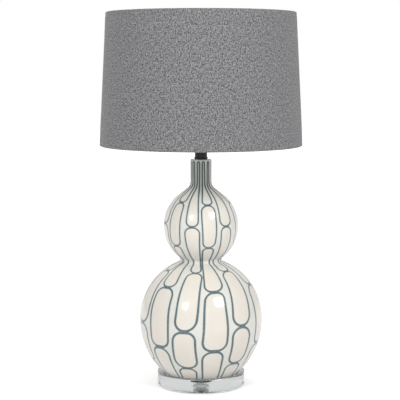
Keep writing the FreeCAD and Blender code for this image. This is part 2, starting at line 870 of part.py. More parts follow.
def switch_bridge():
    """The moving contact, a strip across the bar that joins the two fixed contacts."""
    body = new_body("switch_bridge")
    outline = new_sketch(body, "bridge_outline", "XY_Plane", bridge_bottom)
    half = s.bridge_width / 2
    front = s.centre_contact_reach - s.centre_contact_width
    draw_loop(outline, rectangle(-half, half, front, front + s.bridge_length))
    extrude(body, "bridge", outline, s.bridge_thickness)
    at_rest(body)
    return body


def lampholder_core():
    """The insulating core: a disc with two terminal recesses, and a sleeve round the bulb's cap."""
    sleeve = s.screw_shell_radius + s.thread_gap
    corners = [
        (ZERO, core_bottom),
        (core_radius, core_bottom),
        (core_radius, core_top),
        (sleeve, core_top),
        (sleeve, disc_top),
        (ZERO, disc_top),
    ]
    body = turned("lampholder_core", corners)
    recess = new_sketch(body, "terminal_recess_outline", "XY_Plane", core_bottom)
    middle = s.bar_travel / 2
    half = s.terminal_block_width / 2 + s.seat_gap
    start = s.terminal_offset - s.seat_gap
    outside = core_radius + s.cut_margin
    draw_loop(recess, rectangle(middle - half, middle + half, start, outside))
    cut = pocket(body, "terminal_recess", recess, s.core_disc_height, along_normal=True)
    repeat_round(body, "terminal_recesses", [cut], TERMINALS)
    slot = new_sketch(body, "contact_slot_outline", "XY_Plane", core_bottom)
    strip_end = strip_side + s.strip_width
    left = strip_end - s.strip_thickness - s.seat_gap
    high = s.centre_contact_reach + s.seat_gap
    low = high - s.centre_contact_width - 2 * s.seat_gap
    draw_loop(slot, rectangle(left, strip_end + s.seat_gap, low, high))
    pocket(body, "contact_slot", slot, s.core_disc_height, along_normal=True)
    return body


def centre_contact():
    """A bent spring strip: a foot at the switch, a riser through the core, an arch under the bulb."""
    body = new_body("centre_contact")
    right = strip_side + s.strip_width
    thin = s.strip_thickness
    low = strip_foot
    bed = screw_shell_bottom
    arch_half = right - thin
    inner_rise = s.centre_contact_rise - thin
    outer_bend = arch_bend(right, s.centre_contact_rise)
    inner_bend = arch_bend(arch_half, inner_rise)
    corners = [
        (strip_side, low),
        (right, low),
        (right, bed, outer_bend, 1),
        (-right, bed),
        (-arch_half, bed, inner_bend, -1),
        (arch_half, bed),
        (arch_half, low + thin),
        (strip_side, low + thin),
    ]
    outline = new_sketch(body, "strip_outline", "XZ_Plane", -s.centre_contact_reach)
    draw_loop(outline, corners)
    extrude(body, "strip", outline, s.centre_contact_width)
    return body


def arch_bend(half_span, rise):
    """Radius of an arc over a span with the given rise."""
    return (half_span * half_span + rise * rise) / (2 * rise)


def terminal(label, foot_corners, turned_round):
    """A strip and its block, on the back of the core or, turned round, on the front."""
    body = new_body(label)
    strip = new_sketch(body, f"{label}_strip_outline", "YZ_Plane", strip_side)
    draw_loop(strip, foot_corners)
    extrude(body, f"{label}_strip", strip, s.strip_width)
    block_low = core_bottom + s.seat_gap
    block_near = s.terminal_offset + s.strip_thickness
    middle = s.bar_travel / 2
    block = new_sketch(body, f"{label}_block_outline", "XY_Plane", block_low)
    half = s.terminal_block_width / 2
    far = block_near + s.terminal_block_depth
    draw_loop(block, rectangle(middle - half, middle + half, block_near, far))
    extrude(body, f"{label}_block", block, s.terminal_block_height)
    level = block_low + s.terminal_block_height / 2
    hole_radius = s.terminal_screw_radius + s.thread_gap
    corners = rectangle(block_near, far + s.cut_margin, ZERO, hole_radius)
    hole = sideways_section(body, f"{label}_hole", level, corners, middle)
    groove(body, f"{label}_hole", hole, "H_Axis")
    if turned_round:
        body.Placement = Placement(Vector(), Rotation(Vector(0, 0, 1), 180))
    return body


def live_terminal():
    """The terminal whose strip bends in below the core to meet the switch."""
    near = s.terminal_offset
    far = near + s.strip_thickness
    bridge_back = s.bridge_length + s.centre_contact_reach - s.centre_contact_width
    inner = bridge_back - s.strip_width
    top = core_bottom + s.terminal_block_height
    corners = [
        (inner, strip_foot),
        (far, strip_foot),
        (far, top),
        (near, top),
        (near, strip_foot + s.strip_thickness),
        (inner, strip_foot + s.strip_thickness),
    ]
    return terminal("live_terminal", corners, False)


def neutral_terminal():
    """The terminal whose strip runs up to the screw shell."""
    near = s.terminal_offset
    far = near + s.strip_thickness
    low = core_bottom + s.seat_gap
    corners = rectangle(near, far, low, disc_top)
    return terminal("neutral_terminal", corners, True)


def terminal_screws():
    """Two cheese-head screws, one in each terminal block."""
    body = new_body("terminal_screws")
    start = s.terminal_offset + s.strip_thickness
    face = start + s.terminal_block_depth
    level = core_bottom + s.seat_gap + s.terminal_block_height / 2
    corners = [
        (start, ZERO),
        (face + s.terminal_head_height, ZERO),
        (face + s.terminal_head_height, s.terminal_head_radius),
        (face, s.terminal_head_radius),
        (face, s.terminal_screw_radius),
        (start, s.terminal_screw_radius),
    ]
    sketch = sideways_section(body, "screw", level, corners, s.bar_travel / 2)
    screw = revolve(body, "screw", sketch, "H_Axis")
    repeat_round(body, "screws", [screw], TERMINALS)
    return body


def screw_shell():
    """The brass shell that the bulb screws into, with an inward lip on the core's disc."""
    outer = s.screw_shell_radius
    inner = outer - s.screw_shell_wall
    top = screw_shell_bottom + s.screw_shell_height
    lip_top = screw_shell_bottom + s.screw_shell_wall
    corners = [
        (outer - s.screw_shell_lip, screw_shell_bottom),
        (outer, screw_shell_bottom),
        (outer, top),
        (inner, top),
        (inner, lip_top),
        (outer - s.screw_shell_lip, lip_top),
    ]
    return turned("screw_shell", corners)


def lampholder_skirt():
    """The threaded skirt: a plug into the cap, the flange under the fitter, and a rim over the core."""
    corners = [
        (skirt_inner, core_bottom),
        (skirt_plug_radius, core_bottom),
        (skirt_plug_radius, holder_top),
        (s.skirt_flange_radius, holder_top),
        (s.skirt_flange_radius, skirt_flange_top),
        (s.skirt_radius, skirt_flange_top),
        (s.skirt_radius, skirt_top),
        (s.skirt_lip_radius, skirt_top),
        (s.skirt_lip_radius, skirt_lip),
        (skirt_inner, skirt_lip),
    ]
    return turned("lampholder_skirt", corners)


def shade_ring():
    """The ring that screws down on the skirt over the fitter, with finger grips round its flange."""
    bore = s.skirt_radius + s.moving_gap
    top = ring_bottom + s.ring_height
    flange_top = ring_bottom + s.ring_flange_thickness
    corners = [
        (bore, ring_bottom),
        (s.ring_radius, ring_bottom),
        (s.ring_radius, flange_top),
        (s.ring_collar_radius, flange_top),
        (s.ring_collar_radius, top),
        (bore, top),
    ]
    body = turned("shade_ring", corners)
    grip = new_sketch(body, "grip_outline", "XY_Plane", ring_bottom)
    grip_centre = s.ring_radius + s.ring_grip_radius - s.ring_grip_depth
    draw_circle(grip, grip_centre, ZERO, s.ring_grip_radius)
    cut = pocket(body, "grip", grip, s.ring_flange_thickness, along_normal=True)
    repeat_round(body, "grips", [cut], RING_GRIPS)
    return body


# ---------------------------------------------------------------- the shade


def shade_hub():
    """The flat pressed ring of the fitter, between the skirt's flange and the shade ring."""
    body = turned("shade_hub", rectangle(s.hub_hole_radius, s.hub_radius, hub_bottom, hub_top))
    rims = [(s.hub_radius, hub_bottom), (s.hub_radius, hub_top)]
    round_edges(body, "hub_edges", s.hub_edge_round, rims)
    return body


def shade_arms():
    """Three wires from under the hub, out and down to lie on the bottom ring."""
    body = new_body("shade_arms")
    start_level = hub_bottom - (s.arm_radius + s.weld_gap)
    end_level = bottom_wire_level + s.ring_wire_radius + s.arm_radius + s.weld_gap
    end_radius = bottom_wire_radius + s.ring_wire_radius - s.arm_end_gap
    rest_radius = bottom_wire_radius - s.arm_rest_length
    path = new_sketch(body, "arm_path", "XZ_Plane")
    bends = draw_arm(path, start_level, end_level, rest_radius, end_radius)
    section = new_sketch(body, "arm_section", "YZ_Plane", s.arm_start_radius)
    draw_circle(section, ZERO, start_level, s.arm_radius)
    arm = body.newObject("PartDesign::AdditivePipe", "arm")
    arm.Profile = section
    arm.Spine = (path, bends)
    repeat_round(body, "arms", [arm], FITTER_ARMS)
    return body


def draw_arm(path, start_level, end_level, rest_radius, end_radius):
    """Level at the hub, then sloping, then level on the ring, with a round at each bend."""
    points = [
        Vector(s.arm_start_radius.value, start_level.value),
        Vector(s.arm_bend_radius.value, start_level.value),
        Vector(rest_radius.value, end_level.value),
        Vector(end_radius.value, end_level.value),
    ]
    slope = math.atan2(points[1].y - points[2].y, points[2].x - points[1].x)
    trim = s.arm_bend_round.value * math.tan(slope / 2)
    down = (points[2] - points[1]).normalize()
    level = Vector(1, 0)
    bend = s.arm_bend_round.value
    lines = []
    ends = [
        (points[0], points[1] - level * trim),
        (points[1] + down * trim, points[2] - down * trim),
        (points[2] + level * trim, points[3]),
    ]
    for first, last in ends:
        lines.append(path.addGeometry(Part.LineSegment(first, last)))
    quarter = math.pi / 2
    upper = draw_arc(
        path, (ends[0][1] - Vector(0, bend))[:2], bend, quarter - slope, quarter
    )
    lower = draw_arc(
        path, (ends[2][0] + Vector(0, bend))[:2], bend, -quarter - slope, -quarter
    )
    for item in (lines[0], lines[2]):
        path.addConstraint(Sketcher.Constraint("Horizontal", item))
    place_point(path, lines[0], 1, s.arm_start_radius, start_level)
    place_point(path, lines[2], 2, end_radius, end_level)
    joints = [(lines[0], 2, upper, 2), (upper, 1, lines[1], 1)]
    joints += [(lines[1], 2, lower, 1), (lower, 2, lines[2], 1)]
    for joint in joints:
        path.addConstraint(Sketcher.Constraint("Tangent", *joint))
    for arc in (upper, lower):
        bind(path, "Radius", arc, length=s.arm_bend_round)
    bind(path, "DistanceX", lines[0], 2, length=s.arm_bend_radius)
    bind(path, "DistanceX", lines[2], 1, length=rest_radius)
    return [f"Edge{number}" for number in range(1, len(lines) + 3)]


def wire_ring(label, radius, level):
    """A ring of round wire about the lamp's axis."""
    body = new_body(label)
    sketch = new_sketch(body, f"{label}_section", "XZ_Plane")
    draw_circle(sketch, radius, level, s.ring_wire_radius)
    revolve(body, f"{label}_turning", sketch)
    return body


def shade_fabric():
    """The fabric drum, rolled over the wire ring at both edges."""
    body = new_body("shade_fabric")
    sketch = new_sketch(body, "fabric_section", "XZ_Plane")
    low = Vector(bottom_wire_radius.value, bottom_wire_level.value)
    high = Vector(top_wire_radius.value, top_wire_level.value)
    lean = math.atan2(low.x - high.x, high.y - low.y)
    outward = Vector(math.cos(lean), math.sin(lean))
    faces = []
    for radius in (hem_outer, hem_inner):
        size = radius.value
        wall = Part.LineSegment(low + outward * size, high + outward * size)
        faces.append(
            (
                sketch.addGeometry(wall),
                draw_arc(sketch, low[:2], size, -math.pi, lean),
                draw_arc(sketch, high[:2], size, lean, math.pi),
                radius,
            )
        )
    for wall, lower, upper, radius in faces:
        place_point(sketch, lower, 3, bottom_wire_radius, bottom_wire_level)
        place_point(sketch, upper, 3, top_wire_radius, top_wire_level)
        for arc in (lower, upper):
            bind(sketch, "Radius", arc, length=radius)
        sketch.addConstraint(Sketcher.Constraint("Tangent", lower, 2, wall, 1))
        sketch.addConstraint(Sketcher.Constraint("Tangent", upper, 1, wall, 2))
        bind(sketch, "DistanceY", lower, 1, length=bottom_wire_level)
        bind(sketch, "DistanceY", upper, 2, length=top_wire_level)
    for centre, arc, end in ((low, 1, 1), (high, 2, 2)):
        outer = centre - Vector(hem_outer.value, 0)
        inner = centre - Vector(hem_inner.value, 0)
        edge = sketch.addGeometry(Part.LineSegment(outer, inner))
        for side, point in ((0, 1), (1, 2)):
            joint = Sketcher.Constraint("Coincident", faces[side][arc], end, edge, point)
            sketch.addConstraint(joint)
    revolve(body, "fabric", sketch)
    return body


def shade_lining():
    """The white sheet inside the fabric, between the two wire rings."""
    run = bottom_wire_radius - top_wire_radius
    rise = top_wire_level - bottom_wire_level
    stretch = root(run * run + rise * rise) / rise
    outer = s.ring_wire_radius * stretch
    inner = outer - s.lining_thickness * stretch
    margin = s.ring_wire_radius + 2 * s.arm_radius + s.arm_end_gap
    low = bottom_wire_level + margin
    high = top_wire_level - margin
    low_wall = bottom_wire_radius - run / rise * margin
    high_wall = top_wire_radius + run / rise * margin
    corners = [
        (low_wall + inner, low),
        (low_wall + outer, low),
        (high_wall + outer, high),
        (high_wall + inner, high),
    ]
    return turned("shade_lining", corners)


# ---------------------------------------------------------------- the bulb

globe_centre = bulb_tip + s.bulb_length - s.bulb_radius
bulb_joint = bulb_tip + s.bulb_joint_height
cap_top = bulb_tip + s.bulb_cap_height
insulator_top = bulb_tip + s.bulb_tip_height + s.bulb_insulator_height


def joint_radius(radius):
    """Radius of a sphere about the globe's centre, where it crosses the joint."""
    drop = globe_centre - bulb_joint
    return root(radius * radius - drop * drop)


def bulb_globe():
    """The hollow opal dome, open at the joint with its housing."""
    inner = s.bulb_radius - s.bulb_globe_wall
    corners = [
        (joint_radius(s.bulb_radius), bulb_joint, s.bulb_radius, 1),
        (s.bulb_radius, globe_centre, s.bulb_radius, 1),
        (ZERO, globe_centre + s.bulb_radius),
        (ZERO, globe_centre + inner, inner, -1),
        (inner, globe_centre, inner, -1),
        (joint_radius(inner), bulb_joint),
    ]
    return turned("bulb_globe", corners)


def bulb_housing():
    """The flared white collar between the screw cap and the globe."""
    wide = joint_radius(s.bulb_radius)
    wall = s.bulb_housing_wall
    rise = bulb_joint - cap_top
    spread = wide - s.bulb_collar_radius
    bend = arch_radius(spread, rise)
    corners = [
        (s.bulb_collar_radius - wall, cap_top),
        (s.bulb_collar_radius, cap_top, bend, 1),
        (wide, bulb_joint - s.seat_gap),
        (wide - wall, bulb_joint - s.seat_gap, bend, -1),
    ]
    return turned("bulb_housing", corners)


def arch_radius(across, along):
    """Radius of the gentle bend that a slanting wall makes between its ends."""
    return root(across * across + along * along) * HOUSING_BEND


def bulb_board():
    """The round board that carries the light sources, across the housing's mouth."""
    edge = joint_radius(s.bulb_radius) - s.bulb_housing_wall - s.bulb_board_inset
    top = bulb_joint - s.bulb_board_depth
    corners = rectangle(ZERO, edge, top - s.bulb_board_thickness, top)
    return turned("bulb_board", corners)


def bulb_screw_cap():
    """The thin metal screw cap, rolled in at its lower end round the insulator."""
    outer = s.bulb_cap_radius
    inner = outer - s.bulb_cap_wall
    low = bulb_tip + s.bulb_tip_height + s.bulb_insulator_height / 2
    hold = s.bulb_insulator_radius + s.seat_gap
    corners = [
        (hold, low),
        (outer - s.bulb_cap_bevel, low),
        (outer, low + s.bulb_cap_bevel),
        (outer, cap_top - s.seat_gap),
        (inner, cap_top - s.seat_gap),
        (inner, low + s.bulb_cap_bevel + s.bulb_cap_wall),
        (hold, low + s.bulb_cap_wall),
    ]
    return turned("bulb_screw_cap", corners)


def bulb_insulator():
    """The dark insulator between the screw cap and the tip."""
    low = bulb_tip + s.bulb_tip_height
    corners = [
        (ZERO, low),
        (s.bulb_tip_radius + s.bulb_tip_rim, low),
        (s.bulb_insulator_radius, low + s.bulb_insulator_height / 2),
        (s.bulb_insulator_radius, insulator_top),
        (ZERO, insulator_top),
    ]
    return turned("bulb_insulator", corners)


def bulb_tip_contact():
    top = bulb_tip + s.bulb_tip_height
    edge = s.bulb_tip_height / 2
    corners = [
        (ZERO, bulb_tip),
        (s.bulb_tip_radius - edge, bulb_tip, edge, 1),
        (s.bulb_tip_radius, bulb_tip + edge),
        (s.bulb_tip_radius, top),
        (ZERO, top),
    ]
    return turned("bulb_tip_contact", corners)


# ---------------------------------------------------------------- build, check and write


def check_document():
    """Stops on a feature that failed without saying so."""
    for item in document.Objects:
        if {"Invalid", "Error"} & set(item.State):
            raise RuntimeError(f"{item.Label} failed: {item.State}")


def check_shape(part):
    if part.Shape.isNull() or not part.Shape.isValid() or not part.Shape.Solids:
        raise RuntimeError(f"{part.Label} has no valid solid")


pieces = [
    base_pads(),
    acrylic_base(),
    seat_ring(),
    base_washer(),
    base_nut(),
    threaded_rod(),
    ceramic_body(),
    cord_bush(),
    neck_cap(),
    neck_washer(),
    lampholder_cap(),
    locking_screw(),
    switch_bar(),
    switch_bridge(),
    lampholder_core(),
    centre_contact(),
    live_terminal(),
    neutral_terminal(),
    terminal_screws(),
    screw_shell(),
    lampholder_skirt(),
    shade_ring(),
    shade_hub(),
    shade_arms(),
    wire_ring("shade_bottom_ring", bottom_wire_radius, bottom_wire_level),
    wire_ring("shade_top_ring", top_wire_radius, top_wire_level),
    shade_fabric(),
    shade_lining(),
    bulb_globe(),
    bulb_housing(),
    bulb_board(),
    bulb_screw_cap(),
    bulb_insulator(),
    bulb_tip_contact(),
]
document.recompute()
check_document()
for piece in pieces:
    check_shape(piece)

os.makedirs("parts", exist_ok=True)
for piece in pieces:
    piece.Shape.exportStep(f"parts/{piece.Label}.step")
    print(f"{piece.Label}: {len(piece.Shape.Solids)} solid(s), {piece.Shape.Volume:.0f} mm3")
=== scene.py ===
import math
import random

import bmesh
import bpy
import numpy as np
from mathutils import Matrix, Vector


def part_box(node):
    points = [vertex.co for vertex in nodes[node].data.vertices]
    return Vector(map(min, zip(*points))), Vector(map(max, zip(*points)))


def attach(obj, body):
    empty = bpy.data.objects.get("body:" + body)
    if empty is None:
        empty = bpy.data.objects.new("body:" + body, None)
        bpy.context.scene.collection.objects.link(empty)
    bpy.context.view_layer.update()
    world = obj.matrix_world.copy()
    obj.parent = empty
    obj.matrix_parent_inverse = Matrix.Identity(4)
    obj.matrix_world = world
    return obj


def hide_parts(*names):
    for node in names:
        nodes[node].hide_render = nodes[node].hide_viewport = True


MM = 0.001
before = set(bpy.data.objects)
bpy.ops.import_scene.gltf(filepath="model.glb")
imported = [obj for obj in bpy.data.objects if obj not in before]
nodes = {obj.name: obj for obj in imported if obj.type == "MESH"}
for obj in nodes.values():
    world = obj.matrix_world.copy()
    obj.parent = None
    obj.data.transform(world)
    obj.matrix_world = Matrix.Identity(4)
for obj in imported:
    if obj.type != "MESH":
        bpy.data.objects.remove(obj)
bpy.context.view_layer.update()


# ---------------------------------------------------------------- building materials


def colour(red, green, blue):
    """A colour as a picture shows it, from 0 to 255, as the linear one that a shader takes."""
    shares = (value / 255 for value in (red, green, blue))
    linear = [v / 12.92 if v <= 0.04045 else ((v + 0.055) / 1.055) ** 2.4 for v in shares]
    return (*linear, 1.0)


def scaled(tint, share):
    """A colour made darker or paler, by a share of itself."""
    return (*(min(1.0, share * value) for value in tint[:3]), 1.0)


# Where the mix node has its share, its two colours and their blend among its many sockets.
MIX_INPUTS = (0, 6, 7)
MIX_OUTPUT = 2


class Finish:
    """A procedural material, put together from shader nodes round one Principled shader."""

    def __init__(self, name, **shader_values):
        self.material = bpy.data.materials.new(name)
        self.material.use_nodes = True
        self.tree = self.material.node_tree
        self.shader = self.tree.nodes["Principled BSDF"]
        self.place = self.node("TexCoord").outputs["Object"]
        for socket, value in shader_values.items():
            self.feed(self.shader.inputs[socket.replace("_", " ")], value)

    def node(self, kind, **settings):
        made = self.tree.nodes.new("ShaderNode" + kind)
        for name, value in settings.items():
            setattr(made, name, value)
        return made

    def feed(self, socket, value):
        """Sets a socket to a value, or links it to another node's output."""
        if isinstance(value, bpy.types.NodeSocket):
            self.tree.links.new(value, socket)
        else:
            socket.default_value = value

    def set(self, socket, value):
        self.feed(self.shader.inputs[socket], value)

    def math(self, operation, *values):
        made = self.node("Math", operation=operation)
        for socket, value in zip(made.inputs, values):
            self.feed(socket, value)
        return made.outputs[0]

    def stretched(self, stretch):
        """The object's coordinates, multiplied along each axis."""
        mapping = self.node("Mapping")
        self.feed(mapping.inputs["Vector"], self.place)
        mapping.inputs["Scale"].default_value = stretch
        return mapping.outputs[0]

    def noise(self, size, detail=3.0, roughness=0.5, stretch=(1, 1, 1)):
        """Noise from 0 to 1 whose patches are about as large as size, in metres."""
        made = self.node("TexNoise")
        self.feed(made.inputs["Vector"], self.stretched(stretch))
        made.inputs["Scale"].default_value = 1 / size
        made.inputs["Detail"].default_value = detail
        made.inputs["Roughness"].default_value = roughness
        return made.outputs[0]

    def fit(self, value, low, high, start, end):
        """Value, moved from the range low to high into the range start to end."""
        made = self.node("MapRange", interpolation_type="SMOOTHSTEP")
        numbers = (value, low, high, start, end)
        for socket, number in zip(made.inputs, numbers):
            self.feed(socket, number)
        return made.outputs[0]

    def mix(self, share, first, second):
        """The first colour, turned into the second by a share from 0 to 1."""
        made = self.node("Mix", data_type="RGBA")
        for place, value in zip(MIX_INPUTS, (share, first, second)):
            self.feed(made.inputs[place], value)
        return made.outputs[MIX_OUTPUT]

    def attribute(self, name):
        """A value that paint_gourd stored for every point."""
        return self.node("Attribute", attribute_name=name).outputs["Fac"]

    def bump(self, height, depth):
        """Height from 0 to 1 as relief that is depth metres deep, on top of earlier relief."""
        made = self.node("Bump")
        made.inputs["Distance"].default_value = depth
        self.feed(made.inputs["Height"], height)
        earlier = self.shader.inputs["Normal"].links
        if earlier:
            self.feed(made.inputs["Normal"], earlier[0].from_socket)
        self.set("Normal", made.outputs[0])

    def angle_round_axis(self):
        """The azimuth about the lamp's axis, in radians, 0 at the front, and the height."""
        split = self.node("SeparateXYZ")
        self.feed(split.inputs[0], self.place)
        backwards = self.math("MULTIPLY", split.outputs[1], -1.0)
        return self.math("ARCTAN2", split.outputs[0], backwards), split.outputs[2]

    def cloth_noise(self, around, level, width, height):
        """Noise on the unrolled cloth, its patches width across and height tall."""
        made = self.node("TexNoise", noise_dimensions="2D")
        flat = self.node("CombineXYZ")
        self.feed(flat.inputs[0], self.math("DIVIDE", around, width))
        self.feed(flat.inputs[1], self.math("DIVIDE", level, height))
        self.feed(made.inputs["Vector"], flat.outputs[0])
        made.inputs["Scale"].default_value = 1.0
        made.inputs["Detail"].default_value = 2.0
        return made.outputs[0]

    def waves(self, distance, pitch):
        """A smooth wave from 0 to 1, once for every pitch of the distance."""
        phase = self.math("MULTIPLY", distance, 2 * math.pi / pitch)
        return self.math("MULTIPLY_ADD", self.math("SINE", phase), 0.5, 0.5)

    def helix(self, pitch, depth):
        """The relief of a screw thread about the lamp's axis."""
        angle, level = self.angle_round_axis()
        turn = self.math("MULTIPLY", angle, pitch / (2 * math.pi))
        self.bump(self.waves(self.math("ADD", level, turn), pitch), depth)


# ---------------------------------------------------------------- finishes

# The glaze: each ground has two tones that cloud into one another.
CREAM = (colour(243, 237, 228), colour(236, 229, 217))
BLUE_WHITE = (colour(238, 236, 229), colour(229, 229, 223))
# The ground greys at the narrow neck and waist, partly for the paint's crowding, partly as painted
# shade.
CROWDED_SHADE_WHITE = colour(206, 216, 216)
SLATE_DEEP = colour(60, 90, 100)
SLATE_PALE = colour(98, 125, 133)
# Slate lines turn olive at the narrow neck and waist, partly thin paint, partly painted shade;
# then the most that the ground greys there.
SLATE_SHADED_OLIVE = colour(70, 80, 78)
CROWDED_SHADE_TINT = 0.55
# The painted lines: how far their edges wander and how softly they end, how well they cover, and
# the width and cover of the thin wash round them.
LINE_WOBBLE_MM = 0.5
LINE_EDGE_MM = 0.35
LINE_COVER = 0.94
HALO_MM = 2.2
HALO_COVER = 0.14

# The cloth: its dark and pale yarn, its pale fibres, the painted shade in the hollows between
# them, the share of the flecks in its tone, and its weave.
FABRIC_DARK = colour(50, 50, 53)
FABRIC_PALE = colour(167, 167, 169)
FABRIC_FIBRE = colour(200, 200, 202)
FABRIC_SHADOW = colour(52, 52, 56)
FLECK_SHARE = 0.55
THREAD_PITCH = 0.9 * MM
THREAD_RELIEF = 0.14 * MM
FIBRE_RELIEF = 0.08 * MM

# Tarnished metal's share of the clean tint and the most of it that shows, and how much paler the
# clear block's clouds are.
TARNISH = 0.72
TARNISH_SHARE = 0.25
BLOCK_PALER = 1.02


def metal(name, tint, roughness, grain=1.2 * MM, brushed=(1, 1, 1)):
    """Metal with a fine grain, cloudy gloss and slightly varied colour."""
    made = Finish(name, Metallic=1.0)
    tarnish = made.fit(made.noise(9 * MM, 4.0, 0.6), 0.35, 0.7, 0.0, TARNISH_SHARE)
    made.set("Base Color", made.mix(tarnish, tint, scaled(tint, TARNISH)))
    grained = made.noise(grain, 5.0, 0.65, brushed)
    made.set("Roughness", made.fit(grained, 0.3, 0.75, 0.7 * roughness, 1.4 * roughness))
    made.bump(grained, 0.02 * MM)
    return made


def lacquer(name, tint, dusty, roughness, coat):
    """Smooth paint or moulded plastic with faint orange peel and a little dust."""
    made = Finish(name, Coat_Weight=coat, Coat_Roughness=0.06, Specular_IOR_Level=0.3)
    dust = made.noise(2.2 * MM, 6.0, 0.7)
    made.set("Base Color", made.mix(made.fit(dust, 0.5, 0.8, 0.0, 0.6), tint, dusty))
    made.set("Roughness", made.fit(dust, 0.3, 0.8, 0.8 * roughness, 1.3 * roughness))
    made.bump(made.noise(1.4 * MM, 2.0), 0.015 * MM)
    return made


def rubber(name, tint, pale):
    """Matt rubber or soft plastic, faintly speckled."""
    made = Finish(name, Specular_IOR_Level=0.35)
    speckle = made.noise(0.6 * MM, 5.0, 0.7)
    made.set("Base Color", made.mix(made.fit(speckle, 0.4, 0.8, 0.0, 0.5), tint, pale))
    made.set("Roughness", made.fit(speckle, 0.3, 0.8, 0.55, 0.8))
    made.bump(speckle, 0.03 * MM)
    return made


def acrylic(name, tint, roughness):
    """Clear cast block: polished faces with the faintest wave and hairline scuffs."""
    made = Finish(name, Transmission_Weight=1.0, IOR=1.49)
    cloud = made.noise(60 * MM, 2.0)
    made.set("Base Color", made.mix(cloud, tint, scaled(tint, BLOCK_PALER)))
    scuffs = made.noise(5 * MM, 6.0, 0.7, (1, 1, 5))
    made.set("Roughness", made.fit(scuffs, 0.55, 0.8, 0.0, roughness))
    made.bump(made.noise(30 * MM, 1.0), 0.02 * MM)
    return made


def glaze():
    """Cream and bluish white glaze over slate blue brush lines, clear and glossy on top."""
    made = Finish("glazed_ceramic", Coat_Weight=0.6, Coat_Roughness=0.02, Coat_IOR=1.5)
    made.set("Specular IOR Level", 0.25)
    cloud = made.noise(26 * MM, 4.0, 0.55)
    mottle = made.noise(3.5 * MM, 5.0, 0.65)
    cream = made.mix(cloud, *CREAM)
    blue_white = made.mix(cloud, *BLUE_WHITE)
    ground = made.mix(made.attribute("cell"), blue_white, cream)
    # Painted shade, on top of the paint's own crowding: the ground greys and the lines turn olive
    # at the narrow neck and waist.
    narrow_shade = made.math("MULTIPLY", made.attribute("crowded_and_shaded"), CROWDED_SHADE_TINT)
    ground = made.mix(narrow_shade, ground, CROWDED_SHADE_WHITE)
    slate = made.mix(made.fit(mottle, 0.35, 0.7, 0.0, 1.0), SLATE_DEEP, SLATE_PALE)
    slate = made.mix(made.attribute("crowded_and_shaded"), slate, SLATE_SHADED_OLIVE)
    wobble = made.math("MULTIPLY_ADD", mottle, LINE_WOBBLE_MM, -LINE_WOBBLE_MM / 2)
    line = made.math("ADD", made.attribute("line_mm"), wobble)
    painted = made.fit(line, -LINE_EDGE_MM, LINE_EDGE_MM, 0.0, LINE_COVER)
    halo = made.fit(line, -HALO_MM, 0.0, 0.0, HALO_COVER)
    ground = made.mix(halo, ground, SLATE_PALE)
    made.set("Base Color", made.mix(painted, ground, slate))
    made.set("Roughness", made.fit(mottle, 0.3, 0.8, 0.16, 0.34))
    made.bump(painted, 0.06 * MM)
    made.bump(made.noise(11 * MM, 2.0, 0.4), 0.025 * MM)
    return made


def marl_fabric():
    """Grey heather cloth: pale and dark fibres spun into every thread of a plain weave."""
    made = Finish("grey_marl_fabric", Sheen_Weight=0.25, Sheen_Roughness=0.5)
    made.set("Specular IOR Level", 0.2)

    def spun(pattern, low, high):
        pale_share = made.fit(pattern, low, high, 0.0, 1.0)
        return made.mix(pale_share, FABRIC_DARK, FABRIC_PALE)

    azimuth, level = made.angle_round_axis()
    around = made.math("MULTIPLY", azimuth, BOTTOM_RADIUS)
    upright = made.cloth_noise(around, level, 2 * MM, 9 * MM)
    crosswise = made.cloth_noise(around, level, 7 * MM, 2 * MM)
    fleck = made.cloth_noise(around, level, 2 * MM, 3 * MM)
    fibre = made.cloth_noise(around, level, 0.35 * MM, 0.6 * MM)
    warp = made.waves(around, THREAD_PITCH)
    weft = made.waves(level, THREAD_PITCH)
    on_top = made.fit(made.math("SUBTRACT", warp, weft), -0.3, 0.3, 0.0, 1.0)
    tone = made.mix(on_top, spun(crosswise, 0.4, 0.6), spun(upright, 0.4, 0.6))
    tone = made.mix(FLECK_SHARE, tone, spun(fleck, 0.42, 0.58))
    tone = made.mix(made.fit(fibre, 0.5, 0.8, 0.0, 0.6), tone, FABRIC_FIBRE)
    # Painted shade in the hollows between the fibres.
    tone = made.mix(made.fit(fibre, 0.45, 0.25, 0.0, 0.5), tone, FABRIC_SHADOW)
    made.set("Base Color", tone)
    made.set("Roughness", made.fit(fibre, 0.3, 0.8, 0.8, 0.96))
    made.bump(made.math("MAXIMUM", warp, weft), THREAD_RELIEF)
    made.bump(fibre, FIBRE_RELIEF)
    return made


def lining_sheet():
    """White laminated sheet with a faint paper grain."""
    made = Finish("white_lining_sheet", Coat_Weight=0.15, Coat_Roughness=0.3)
    grain = made.noise(1.6 * MM, 5.0, 0.7)
    darker = made.fit(grain, 0.35, 0.75, 0.0, 1.0)
    made.set("Base Color", made.mix(darker, colour(240, 239, 234), colour(228, 226, 219)))
    made.set("Roughness", made.fit(grain, 0.3, 0.8, 0.4, 0.6))
    made.bump(grain, 0.04 * MM)
    return made


def opal_glass():
    """Milky globe with a satin gloss."""
    made = Finish("opal_globe_glass", Coat_Weight=0.4, Coat_Roughness=0.15)
    cloud = made.noise(14 * MM, 3.0)
    made.set("Base Color", made.mix(cloud, colour(243, 242, 238), colour(234, 233, 227)))
    made.set("Roughness", made.fit(made.noise(5 * MM, 2.0), 0.3, 0.7, 0.28, 0.32))
    made.bump(made.noise(12 * MM, 1.0), 0.01 * MM)
    return made


def circuit_board():
    """White coated aluminium, faintly cloudy."""
    made = Finish("coated_board", Metallic=0.2)
    grain = made.noise(1 * MM, 4.0)
    made.set("Base Color", made.mix(grain, colour(226, 229, 230), colour(204, 208, 211)))
    made.set("Roughness", made.fit(grain, 0.3, 0.7, 0.3, 0.5))
    made.bump(grain, 0.02 * MM)
    return made


